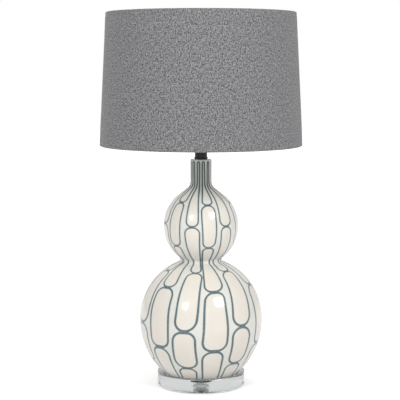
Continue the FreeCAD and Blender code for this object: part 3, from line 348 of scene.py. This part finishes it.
def porcelain():
    """Matt fired porcelain of the lampholder's core."""
    made = Finish("unglazed_core", Specular_IOR_Level=0.4)
    grain = made.noise(0.9 * MM, 6.0, 0.7)
    made.set("Base Color", made.mix(grain, colour(236, 232, 222), colour(212, 206, 192)))
    made.set("Roughness", made.fit(grain, 0.3, 0.8, 0.45, 0.7))
    made.bump(grain, 0.05 * MM)
    return made


# ---------------------------------------------------------------- shapes

SAME_POINT = 1e-6
HOLE_SIDES = 48


def arc(centre, radius, start, end, step):
    """Points along an arc, from one angle to another, about one for every step."""
    count = max(2, int(abs(end - start) * radius / step) + 1)
    angles = np.linspace(start, end, count)
    return [(centre[0] + radius * math.cos(a), centre[1] + radius * math.sin(a)) for a in angles]


def straight(start, end, step):
    """Points along a straight line, its two ends included."""
    length = math.dist(start, end)
    count = max(2, int(length / step) + 1)
    shares = np.linspace(0, 1, count)
    return [tuple(a + (b - a) * share for a, b in zip(start, end)) for share in shares]


def joined(*runs):
    """Runs of points end to end, with each shared end kept once."""
    line = []
    for run in runs:
        line += [p for p in run if not line or math.dist(p, line[-1]) > SAME_POINT]
    return line


def turned(name, section, azimuths, push=None):
    """A surface swept round the lamp's axis from a section of (radius, height) points.

    Azimuth 0 faces the camera. push gives how far each point stands out, by azimuth and by its
    place in the section. The section closes on itself.
    """
    shape = bmesh.new()
    rings = []
    for place, (radius, height) in enumerate(section):
        ring = []
        for azimuth in azimuths:
            out = radius + (push(azimuth, place) if push else 0.0)
            point = (out * math.sin(azimuth), -out * math.cos(azimuth), height)
            ring.append(shape.verts.new(point))
        rings.append(ring)
    for low, high in zip(rings, rings[1:] + rings[:1]):
        for side in range(len(azimuths)):
            after = (side + 1) % len(azimuths)
            shape.faces.new((low[side], low[after], high[after], high[side]))
    bmesh.ops.recalc_face_normals(shape, faces=shape.faces)
    for face in shape.faces:
        face.smooth = True
    mesh = bpy.data.meshes.new(name)
    shape.to_mesh(mesh)
    shape.free()
    made = bpy.data.objects.new(name, mesh)
    bpy.context.scene.collection.objects.link(made)
    return made


def even_azimuths(count):
    """Azimuths all the way round, in radians."""
    return [2 * math.pi * number / count for number in range(count)]


def creased(piece, degrees):
    """Keeps the edges that turn by more than an angle sharp."""
    with bpy.context.temp_override(object=piece, active_object=piece, selected_objects=[piece]):
        bpy.ops.object.shade_smooth_by_angle(angle=math.radians(degrees), keep_sharp_edges=True)


def cut_hole(piece, radius, start, end):
    """Cuts a round hole through a piece, along a line."""
    run = Vector(end) - Vector(start)
    shape = bmesh.new()
    bmesh.ops.create_cone(
        shape,
        cap_ends=True,
        segments=HOLE_SIDES,
        radius1=radius,
        radius2=radius,
        depth=run.length,
    )
    mesh = bpy.data.meshes.new("hole")
    shape.to_mesh(mesh)
    shape.free()
    cutter = bpy.data.objects.new("hole", mesh)
    bpy.context.scene.collection.objects.link(cutter)
    cutter.location = Vector(start) + run / 2
    cutter.rotation_mode = "QUATERNION"
    cutter.rotation_quaternion = run.to_track_quat("Z", "Y")
    cut = piece.modifiers.new("cut", "BOOLEAN")
    cut.operation = "DIFFERENCE"
    cut.object = cutter
    bpy.context.view_layer.update()
    whole = piece.evaluated_get(bpy.context.evaluated_depsgraph_get())
    after = bpy.data.meshes.new_from_object(whole)
    piece.modifiers.clear()
    before = piece.data
    piece.data = after
    bpy.data.meshes.remove(before)
    bpy.data.objects.remove(cutter)


# ---------------------------------------------------------------- the gourd

FOOT = 28 * MM
BELLY_LEVEL = 128.4 * MM
BELLY_RADIUS = 116.5 * MM
BOWL_ARC = 142.6 * MM
WAIST_ROUND = 4.75 * MM
UPPER_LEVEL = 304.7 * MM
UPPER_RADIUS = 70.9 * MM
UPPER_ARC = 75.9 * MM
SHOULDER = math.radians(52.12)
NECK_RADIUS = 20 * MM
NECK_ROUND = 14.7 * MM
NECK_LENGTH = 42.4 * MM
LIP_ROUND = 2.2 * MM
FOOT_ROUND = 1.2 * MM
WALL = 6 * MM
FLOOR_WALL = 8 * MM
TOP_WALL = 9 * MM
FOOT_RECESS = (60 * MM, 2.5 * MM)
ROD_HOLE = 8 * MM
CORD_HOLE_ANGLE = math.radians(34)
CORD_HOLE_RADIUS = 5.5 * MM
GOURD_SIDES = 360
PAINTED_STEP = 2.0 * MM
COARSE_STEP = 7.0 * MM
LIP_STEP = 0.5 * MM
FOOT_STEP = 0.4 * MM
GOURD_CREASE = 40

bowl_centre = (BELLY_RADIUS - BOWL_ARC, BELLY_LEVEL)
upper_centre = (UPPER_RADIUS - UPPER_ARC, UPPER_LEVEL)
shoulder_run = NECK_RADIUS + NECK_ROUND - upper_centre[0]
shoulder_reach = UPPER_ARC + NECK_ROUND - shoulder_run * math.cos(SHOULDER)
neck_centre = (
    NECK_RADIUS + NECK_ROUND,
    UPPER_LEVEL + shoulder_reach / math.sin(SHOULDER),
)
gourd_top = neck_centre[1] + NECK_LENGTH


def waist_centre():
    """Centre of the small round that touches both bellies."""
    below = Vector((0, BELLY_LEVEL))
    above = Vector(upper_centre)
    across = above - below
    reach_low = BELLY_RADIUS + WAIST_ROUND
    reach_high = UPPER_ARC + WAIST_ROUND
    along = (reach_low**2 - reach_high**2 + across.length_squared) / (2 * across.length)
    aside = math.sqrt(reach_low**2 - along**2)
    unit = across.normalized()
    return below + unit * along + Vector((unit.y, -unit.x)) * aside


def gourd_wall(inset, low, high, step):
    """Points up the gourd's wall, set in from its outside by inset, between two levels."""
    waist = waist_centre()
    bowl = BOWL_ARC - inset
    lower_turn = math.atan2(waist.y - BELLY_LEVEL, waist.x)
    upper_turn = math.atan2(waist.y - UPPER_LEVEL, waist.x - upper_centre[0])
    start = math.asin((low - BELLY_LEVEL) / bowl)
    neck_side = NECK_RADIUS - inset
    return joined(
        arc(bowl_centre, bowl, start, 0, step),
        arc((0, BELLY_LEVEL), BELLY_RADIUS - inset, 0, lower_turn, step),
        arc(waist, WAIST_ROUND + inset, math.pi + lower_turn, math.pi + upper_turn, step),
        arc(upper_centre, UPPER_ARC - inset, upper_turn, SHOULDER, step),
        arc(neck_centre, NECK_ROUND + inset, math.pi + SHOULDER, math.pi, step),
        straight((neck_side, neck_centre[1]), (neck_side, high), step),
    )


# The painted columns: the joints where one cell meets the next, each an azimuth in degrees
# (0 faces the camera, right is positive) and a height in millimetres, from the foot upwards. After
# them comes the width of each of the five cells, as a share of its column's room.
FRONT_COLUMNS = (
    (
        ((12.2, 87.0), (15.1, 194.1), (12.5, 271.1), (13.0, 349.6)),
        (0.78, 0.80, 0.78, 0.80, 0.74),
    ),
    (
        ((-42.9, 89.7), (-42.2, 199.0), (-45.7, 273.0), (-42.7, 353.2)),
        (0.76, 0.80, 0.72, 0.76, 0.74),
    ),
    (
        ((70.4, 88.5), (74.6, 196.9), (75.5, 272.0), (76.4, 351.1)),
        (0.78, 0.78, 0.74, 0.78, 0.74),
    ),
    (
        ((-16.3, 51.8), (-15.6, 124.3), (-9.6, 224.5), (-14.2, 310.7)),
        (0.74, 0.82, 0.78, 0.78, 0.70),
    ),
    (
        ((39.6, 57.6), (40.7, 130.0), (45.4, 224.8), (41.4, 310.3)),
        (0.74, 0.75, 0.78, 0.76, 0.72),
    ),
    (
        ((-72.0, 55.0), (-69.8, 128.2), (-68.5, 223.3), (-72.2, 312.5)),
        (0.76, 0.80, 0.76, 0.78, 0.74),
    ),
)
# The unseen columns: azimuths, the usual heights of the two kinds of column, the most that a joint
# is off its place, in degrees and in millimetres, and the range of the widths.
BACK_COLUMNS = (105, 135, 165, 195, 225, 255)
LONG_JOINTS_MM = (88, 197, 272, 351)
SHORT_JOINTS_MM = (55, 127.5, 224, 311)
OFF_PLACE = 3
BACK_WIDTHS = (0.72, 0.84)

COLUMN_ROOM = math.radians(30)
# The lowest cell runs on past the foot, by a share of the second one's length, the highest stops
# short of the rim, and two cells in a column share a little of their line.
FOOT_OVERRUN = 1.1
RIM_MARGIN_MM = 0.8
JOINT_OVERLAP_MM = 0.35
# A column's middle sways by a share of its room, and a cell widens or narrows upwards.
SWAY_SHARE = 0.018
SWAY_LENGTH_MM = 17
MOST_TAPER = 0.10
# The range of a corner's rounding, as a share of the cell's half width.
LOWER_CORNERS = (0.7, 1.0)
UPPER_CORNERS = (0.85, 1.0)
UPPER_CELLS = 3
# A line is a share of its column's room wide, with a least width and a little more on the neck.
LINE_SHARE = 0.07
LINE_LEAST_MM = 2.7
NECK_LINE_MM = 0.45
# Columns begin to crowd where their room is CROWDED_START times CROWDED_ROOM_MM, and crowd
# fully where it is one CROWDED_ROOM_MM less. The same measure widens the lines on the neck and
# places the glaze's painted shade at the narrow neck and waist.
CROWDED_ROOM_MM = 28
CROWDED_START = 1.35
# Only points within the skin are painted, and the others keep a value that no line reaches. A
# cell's tint comes in over its border.
SKIN_MM = 1.0
FAR_FROM_LINES_MM = -9.0
CELL_BORDER_MM = 2


def back_columns():
    """The unseen columns, spaced as the front ones are, each a little out of line."""
    chance = random.Random(12)
    for place, azimuth in enumerate(BACK_COLUMNS):
        levels = LONG_JOINTS_MM if place % 2 else SHORT_JOINTS_MM
        joints = []
        for level in levels:
            turn = chance.uniform(-OFF_PLACE, OFF_PLACE)
            joints.append((azimuth + turn, level + chance.uniform(-OFF_PLACE, OFF_PLACE)))
        yield joints, [chance.uniform(*BACK_WIDTHS) for _ in range(len(levels) + 1)]


def outside_cell(aside, along, half_width, half_length, corners):
    """How far points lie outside a cell with four rounded corners, less than 0 within it."""
    above = np.where(aside > 0, corners[0], corners[1])
    below = np.where(aside > 0, corners[2], corners[3])
    corner = np.minimum(np.where(along > 0, above, below) * half_width, half_length)
    over_side = np.abs(aside) - (half_width - corner)
    over_end = np.abs(along) - (half_length - corner)
    beyond = np.hypot(np.maximum(over_side, 0), np.maximum(over_end, 0))
    inside = np.minimum(np.maximum(over_side, over_end), 0)
    return beyond + inside - corner


def paint_gourd(piece, wall):
    """Stores what the glaze reads at every point.

    line_mm is how deep the point lies within a painted line, cell is 1 within a cell and 0 between
    the cells, and crowded is 1 where the columns run close together, at the neck and waist, where
    it widens the lines and places the glaze's painted shade.
    """
    radii = np.array([point[0] for point in wall]) / MM
    levels = np.array([point[1] for point in wall]) / MM
    steps = np.hypot(np.diff(radii), np.diff(levels))
    runs = np.concatenate(([0.0], np.cumsum(steps)))
    points = np.zeros(len(piece.data.vertices) * 3)
    piece.data.vertices.foreach_get("co", points)
    points = points.reshape(-1, 3) / MM
    azimuth = np.arctan2(points[:, 0], -points[:, 1])
    radius = np.hypot(points[:, 0], points[:, 1])
    run = np.interp(points[:, 2], levels, runs)
    outside = radius > np.interp(points[:, 2], levels, radii) - SKIN_MM
    room = radius * COLUMN_ROOM
    crowded_and_shaded = np.clip(CROWDED_START - room / CROWDED_ROOM_MM, 0, 1)
    line_width = np.maximum(LINE_LEAST_MM, LINE_SHARE * room) + NECK_LINE_MM * crowded_and_shaded**4
    line = np.full(len(points), FAR_FROM_LINES_MM)
    cell = np.full(len(points), FAR_FROM_LINES_MM)
    chance = random.Random(7)
    for joints, widths in [*FRONT_COLUMNS, *back_columns()]:
        meets = [math.radians(turn) for turn, _ in joints]
        places = [float(np.interp(level, levels, runs)) for _, level in joints]
        foot = places[0] - FOOT_OVERRUN * (places[1] - places[0])
        ends = [foot, *places, runs[-1] - RIM_MARGIN_MM]
        sway = np.sin(run / SWAY_LENGTH_MM + chance.uniform(0, 6))
        centre = np.interp(run, places, meets) + SWAY_SHARE * COLUMN_ROOM * sway
        aside = ((azimuth - centre + math.pi) % (2 * math.pi) - math.pi) * radius
        for place, (low, high, width) in enumerate(zip(ends, ends[1:], widths)):
            limits = UPPER_CORNERS if place >= UPPER_CELLS else LOWER_CORNERS
            corners = [chance.uniform(*limits) for _ in range(4)]
            taper = chance.uniform(-MOST_TAPER, MOST_TAPER)
            half_length = (high - low) / 2 + JOINT_OVERLAP_MM
            along = run - (low + high) / 2
            up_cell = np.clip(along / half_length, -1, 1)
            half_width = room / 2 * width * (1 + taper * up_cell)
            out = outside_cell(aside, along, half_width, half_length, corners)
            line = np.maximum(line, line_width / 2 - np.abs(out + line_width / 2))
            cell = np.maximum(cell, -out)
    line[~outside] = FAR_FROM_LINES_MM
    store(piece, "line_mm", line)
    store(piece, "cell", np.clip(cell / CELL_BORDER_MM + 0.5, 0, 1))
    store(piece, "crowded_and_shaded", crowded_and_shaded)


def store(piece, name, values):
    """Keeps one number for every point of a piece."""
    layer = piece.data.attributes.new(name, "FLOAT", "POINT")
    layer.data.foreach_set("value", np.ascontiguousarray(values, dtype=np.float32))


def glazed_gourd():
    """The hollow gourd, dense enough to carry its painting, with its rod and cord holes."""
    outside = gourd_wall(0, FOOT + FOOT_ROUND, gourd_top - LIP_ROUND, PAINTED_STEP)
    lip_centre = (NECK_RADIUS - LIP_ROUND, gourd_top - LIP_ROUND)
    foot_centre = (outside[0][0] - FOOT_ROUND, FOOT + FOOT_ROUND)
    recess_radius, recess_depth = FOOT_RECESS
    recess_top = FOOT + recess_depth
    inside = gourd_wall(WALL, FOOT + FLOOR_WALL, gourd_top - TOP_WALL, COARSE_STEP)
    section = joined(
        outside,
        arc(lip_centre, LIP_ROUND, 0, math.pi / 2, LIP_STEP),
        [(ROD_HOLE, gourd_top), (ROD_HOLE, gourd_top - TOP_WALL)],
        inside[::-1],
        [(ROD_HOLE, FOOT + FLOOR_WALL), (ROD_HOLE, recess_top)],
        [(recess_radius, recess_top), (recess_radius, FOOT)],
        arc(foot_centre, FOOT_ROUND, -math.pi / 2, 0, FOOT_STEP),
    )
    made = turned("gourd_glazed", section[:-1], even_azimuths(GOURD_SIDES))
    outward = Vector((0, math.cos(CORD_HOLE_ANGLE), -math.sin(CORD_HOLE_ANGLE)))
    middle = Vector((0, *bowl_centre)) + outward * BOWL_ARC
    cut_hole(made, CORD_HOLE_RADIUS, middle - outward * 2 * WALL, middle + outward * WALL)
    paint_gourd(made, outside)
    creased(made, GOURD_CREASE)
    return made


# ---------------------------------------------------------------- the shade

BOTTOM_RADIUS = 190 * MM
TOP_RADIUS = 177.2 * MM
WIRE = 1.5 * MM
HEM_CLEARANCE = 0.55 * MM
CLOTH = 0.8 * MM
SHEET = 0.5 * MM
SHADE_SIDES = 288
HEM_STEP = 0.7 * MM
CLOTH_STEP = 2.5 * MM
LINING_STEP = 6 * MM
CLOTH_CREASE = 50
LINING_CREASE = 40
# The lap at the back: its width, how far it stands out, how much of that its start has, the
# steepness of its two edges, and the lining's share of the height of the cloth's.
SEAM_WIDTH = 9 * MM
SEAM_HEIGHT = 0.5 * MM
SEAM_START = 0.35
SEAM_EDGE = 0.25 * MM
LINING_SHARE = 0.6
# The cloth is drawn in just inside each rolled edge.
DENT_DEPTH = 0.35 * MM
DENT_FROM_EDGE = 6.5 * MM
DENT_WIDTH = 2 * MM
# Between the wires it ripples a little: how far, how many times round, where the ripples start
# and where they are full.
RIPPLE = 0.12 * MM
RIPPLES_ROUND = (3, 5, 8, 13)
RIPPLE_START = 12 * MM
RIPPLE_RISE = 50 * MM

hem_inner = WIRE + HEM_CLEARANCE
hem_outer = hem_inner + CLOTH
shade_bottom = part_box("shade_fabric")[0][2]
shade_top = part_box("shade_fabric")[1][2]
low_wire = (BOTTOM_RADIUS - hem_outer, shade_bottom + hem_outer)
high_wire = (TOP_RADIUS - hem_outer, shade_top - hem_outer)
slant = math.atan2(low_wire[0] - high_wire[0], high_wire[1] - low_wire[1])


def seam_azimuths(radius):
    """Even azimuths with close pairs at the back, where the sheet's one edge laps the other."""
    half = SEAM_WIDTH / 2 / radius
    step = SEAM_EDGE / radius
    edges = [math.pi + side * half + shift * step for side in (-1, 1) for shift in (-1, 0, 1)]
    even = [a for a in even_azimuths(SHADE_SIDES) if abs(a - math.pi) > half + 3 * step]
    return sorted(even + edges + [math.pi])


def lap(azimuth, radius):
    """How far the lapped edge stands out at an azimuth."""
    across = (azimuth - math.pi) * radius
    if abs(across) > SEAM_WIDTH / 2:
        return 0.0
    share = (across + SEAM_WIDTH / 2) / SEAM_WIDTH
    return SEAM_HEIGHT * min(1.0, SEAM_START + (1 - SEAM_START) * share)


def fabric_drum():
    """The cloth, rolled over a wire at both edges, pulled in just below each roll."""
    out, up = math.cos(slant), math.sin(slant)

    def wall(size):
        low_end = (low_wire[0] + out * size, low_wire[1] + up * size)
        high_end = (high_wire[0] + out * size, high_wire[1] + up * size)
        return straight(low_end, high_end, CLOTH_STEP)

    outer = joined(
        arc(low_wire, hem_outer, -math.pi, slant, HEM_STEP),
        wall(hem_outer),
        arc(high_wire, hem_outer, slant, math.pi, HEM_STEP),
    )
    inner = joined(
        arc(high_wire, hem_inner, math.pi, slant, HEM_STEP),
        wall(hem_inner)[::-1],
        arc(low_wire, hem_inner, slant, -math.pi, HEM_STEP),
    )
    section = outer + inner
    chance = random.Random(5)
    ripples = [(n, chance.uniform(0, 6.3), chance.uniform(0.4, 1)) for n in RIPPLES_ROUND]

    def stand_out(azimuth, place):
        radius, height = section[place]
        from_edge = min(height - shade_bottom, shade_top - height)
        dent = -DENT_DEPTH * math.exp(-(((from_edge - DENT_FROM_EDGE) / DENT_WIDTH) ** 2))
        middle = min(1.0, max(0.0, (from_edge - RIPPLE_START) / RIPPLE_RISE))
        wave = sum(size * math.sin(n * azimuth + turn) for n, turn, size in ripples)
        lapped = lap(azimuth, radius) if place < len(outer) else 0.0
        return dent + RIPPLE * wave * middle + lapped

    made = turned("shade_cloth", section, seam_azimuths(BOTTOM_RADIUS), stand_out)
    creased(made, CLOTH_CREASE)
    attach(made, "shade")
    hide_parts("shade_fabric")
    return made


def lining_drum():
    """The stiff white sheet inside the cloth, lapped at the back."""
    low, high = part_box("shade_lining")
    slope = math.tan(slant)
    face = WIRE / math.cos(slant)

    def wall(level, depth):
        centre = low_wire[0] - (level - low_wire[1]) * slope
        return (centre + face - depth / math.cos(slant), level)

    outer = straight(wall(low[2], 0), wall(high[2], 0), LINING_STEP)
    inner = straight(wall(high[2], SHEET), wall(low[2], SHEET), LINING_STEP)
    section = outer + inner

    def stand_out(azimuth, place):
        if place < len(outer):
            return 0.0
        return -LINING_SHARE * lap(azimuth, section[place][0])

    made = turned("shade_lining_sheet", section, seam_azimuths(BOTTOM_RADIUS), stand_out)
    creased(made, LINING_CREASE)
    length = math.dist(outer[0], outer[-1])
    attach(made, "shade")
    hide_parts("shade_lining")
    return made


# ---------------------------------------------------------------- the object, dressed


def dress(piece, finish):
    """Gives every material slot of a piece one finish."""
    if not piece.material_slots:
        piece.data.materials.append(finish.material)
    for slot in piece.material_slots:
        slot.material = finish.material


ROD_PITCH = 1.0 * MM
ROD_THREAD = 0.35 * MM

steel = colour(196, 198, 200)
zinc = metal("zinc_plate", steel, 0.3)
zinc_thread = metal("zinc_thread", steel, 0.34)
zinc_thread.helix(ROD_PITCH, ROD_THREAD)
brass = metal("contact_brass", colour(214, 178, 108), 0.28)
nickel = metal("cap_nickel", colour(206, 203, 196), 0.26, brushed=(1, 1, 6))
solder = metal("tip_solder", colour(188, 190, 192), 0.38, 2.4 * MM)
black_metal = lacquer("black_metal", colour(10, 10, 11), colour(26, 26, 28), 0.3, 0.1)
black_gloss = lacquer("black_moulding", colour(9, 9, 10), colour(24, 24, 26), 0.24, 0.15)
black_insulator = lacquer("black_glass", colour(22, 22, 26), colour(46, 46, 52), 0.12, 0.5)
white_metal = lacquer("white_powder_coat", colour(236, 235, 231), colour(218, 216, 210), 0.42, 0.2)
white_housing = lacquer("white_housing", colour(238, 238, 236), colour(222, 222, 218), 0.36, 0.3)
clear_block = acrylic("clear_block", colour(236, 239, 239), 0.06)
clear_ring = acrylic("clear_ring", colour(240, 243, 243), 0.2)
clear_pad = rubber("clear_pad", colour(206, 208, 208), colour(226, 228, 228))
bush = rubber("bush_rubber", colour(34, 34, 36), colour(60, 60, 62))

FINISHES = {
    clear_pad: ["base_pads"],
    clear_block: ["acrylic_base"],
    clear_ring: ["seat_ring"],
    zinc: ["base_washer", "base_nut", "locking_screw", "terminal_screws"],
    zinc_thread: ["threaded_rod"],
    bush: ["cord_bush"],
    black_metal: ["neck_cap", "neck_washer"],
    black_gloss: ["lampholder_cap", "switch_bar", "lampholder_skirt", "shade_ring"],
    brass: ["switch_bridge", "centre_contact", "live_terminal", "neutral_terminal", "screw_shell"],
    porcelain(): ["lampholder_core"],
    white_metal: ["shade_hub", "shade_arms", "shade_bottom_ring", "shade_top_ring"],
    opal_glass(): ["bulb_globe"],
    white_housing: ["bulb_housing"],
    circuit_board(): ["bulb_board"],
    nickel: ["bulb_screw_cap"],
    black_insulator: ["bulb_insulator"],
    solder: ["bulb_tip_contact"],
}
for finish, names in FINISHES.items():
    for name in names:
        dress(nodes[name], finish)

gourd = glazed_gourd()
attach(gourd, "lamp_base")
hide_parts("ceramic_body")
dress(gourd, glaze())
dress(fabric_drum(), marl_fabric())
dress(lining_drum(), lining_sheet())


# ---------------------------------------------------------------- camera, floor and light

CAMERA_PLACE = (-0.0019, -2.2892, 0.6082)
CAMERA_LOOKS_DOWN = 6.349
CAMERA_LENS_MM = 109.84
SENSOR_WIDTH_MM = 36
FLOOR_REACH = 9
FLOOR_COLOUR = colour(238, 238, 238)
FLOOR_ROUGHNESS = 0.9
FLOOR_GLOSS = 0.1
# From the lamp outwards the floor is lifted towards the white of the background: the distances at
# which that starts and ends, and the strength there.
FLOOR_FADE = (0.1, 0.8)
FLOOR_LIFT = (0.42, 0.9)
# The world's strength as a light, and how much of the white background mirrors and glass show.
FILL_STRENGTH = 0.42
MIRRORED_SHARE = 0.56
LIGHTS_AIM = Vector((0, 0, 0.3))
LIGHTS_DISTANCE = 3.0
# Each softbox: its azimuth and elevation in degrees, its width and height, and its watts.
SOFTBOXES = {
    "right_softbox": (41, 33, (0.9, 0.9), 32),
    "left_softbox": (-32.5, 27, (0.48, 0.62), 27),
    "back_softbox": (-155, 30, (0.9, 0.9), 16),
}


def add_camera():
    """The photograph's camera, in front and a little above."""
    camera = bpy.data.objects.new("camera", bpy.data.cameras.new("camera"))
    bpy.context.scene.collection.objects.link(camera)
    camera.location = CAMERA_PLACE
    camera.rotation_euler = (math.radians(90 - CAMERA_LOOKS_DOWN), 0, 0)
    camera.data.lens = CAMERA_LENS_MM
    camera.data.sensor_width = SENSOR_WIDTH_MM
    bpy.context.scene.camera = camera


def seen_directly(tree):
    """1 for the camera's own rays, less for what mirrors and glass show, and 0 otherwise."""
    path = tree.nodes.new("ShaderNodeLightPath")
    total = path.outputs["Is Camera Ray"]
    for name in ("Is Glossy Ray", "Is Transmission Ray"):
        dimmed = tree.nodes.new("ShaderNodeMath")
        dimmed.operation = "MULTIPLY"
        dimmed.inputs[1].default_value = MIRRORED_SHARE
        tree.links.new(path.outputs[name], dimmed.inputs[0])
        most = tree.nodes.new("ShaderNodeMath")
        most.operation = "MAXIMUM"
        tree.links.new(total, most.inputs[0])
        tree.links.new(dimmed.outputs[0], most.inputs[1])
        total = most.outputs[0]
    return total


def add_floor():
    """A wide pale floor that keeps the lamp's shadow and fades into the background."""
    shape = bmesh.new()
    bmesh.ops.create_grid(shape, x_segments=8, y_segments=8, size=FLOOR_REACH)
    mesh = bpy.data.meshes.new("floor")
    shape.to_mesh(mesh)
    shape.free()
    floor = bpy.data.objects.new("floor", mesh)
    bpy.context.scene.collection.objects.link(floor)
    material = bpy.data.materials.new("pale_floor")
    material.use_nodes = True
    tree = material.node_tree
    shader = tree.nodes["Principled BSDF"]
    shader.inputs["Base Color"].default_value = FLOOR_COLOUR
    shader.inputs["Roughness"].default_value = FLOOR_ROUGHNESS
    shader.inputs["Specular IOR Level"].default_value = FLOOR_GLOSS
    shader.inputs["Emission Color"].default_value = (1, 1, 1, 1)
    place = tree.nodes.new("ShaderNodeTexCoord")
    distance = tree.nodes.new("ShaderNodeVectorMath")
    distance.operation = "LENGTH"
    tree.links.new(place.outputs["Object"], distance.inputs[0])
    fade = tree.nodes.new("ShaderNodeMapRange")
    numbers = (*FLOOR_FADE, *FLOOR_LIFT)
    for socket, number in zip(("From Min", "From Max", "To Min", "To Max"), numbers):
        fade.inputs[socket].default_value = number
    tree.links.new(distance.outputs["Value"], fade.inputs["Value"])
    lift = tree.nodes.new("ShaderNodeMath")
    lift.operation = "MULTIPLY"
    tree.links.new(seen_directly(tree), lift.inputs[0])
    tree.links.new(fade.outputs[0], lift.inputs[1])
    tree.links.new(lift.outputs[0], shader.inputs["Emission Strength"])
    mesh.materials.append(material)


def add_world():
    """White behind the lamp, and a softer grey white as the light from all round."""
    world = bpy.data.worlds.new("studio")
    bpy.context.scene.world = world
    world.use_nodes = True
    tree = world.node_tree
    background = tree.nodes["Background"]
    background.inputs["Color"].default_value = (1, 1, 1, 1)
    strength = tree.nodes.new("ShaderNodeMapRange")
    strength.inputs["To Min"].default_value = FILL_STRENGTH
    strength.inputs["To Max"].default_value = 1.0
    tree.links.new(seen_directly(tree), strength.inputs["Value"])
    tree.links.new(strength.outputs[0], background.inputs["Strength"])


def add_softbox(name, azimuth, elevation, size, power):
    """A rectangular lamp, aimed at the object from an azimuth where 0 faces the camera's side."""
    turn, rise = math.radians(azimuth), math.radians(elevation)
    toward = Vector(
        (math.sin(turn) * math.cos(rise), -math.cos(turn) * math.cos(rise), math.sin(rise))
    )
    data = bpy.data.lights.new(name, "AREA")
    data.shape = "RECTANGLE"
    data.size, data.size_y = size
    data.energy = power
    lamp = bpy.data.objects.new(name, data)
    bpy.context.scene.collection.objects.link(lamp)
    lamp.location = LIGHTS_AIM + toward * LIGHTS_DISTANCE
    lamp.rotation_mode = "QUATERNION"
    lamp.rotation_quaternion = toward.to_track_quat("Z", "Y")
    return lamp


add_camera()
add_floor()
add_world()
softboxes = {name: add_softbox(name, *values) for name, values in SOFTBOXES.items()}
softboxes["back_softbox"].visible_glossy = False
bpy.context.scene.view_settings.view_transform = "Standard"
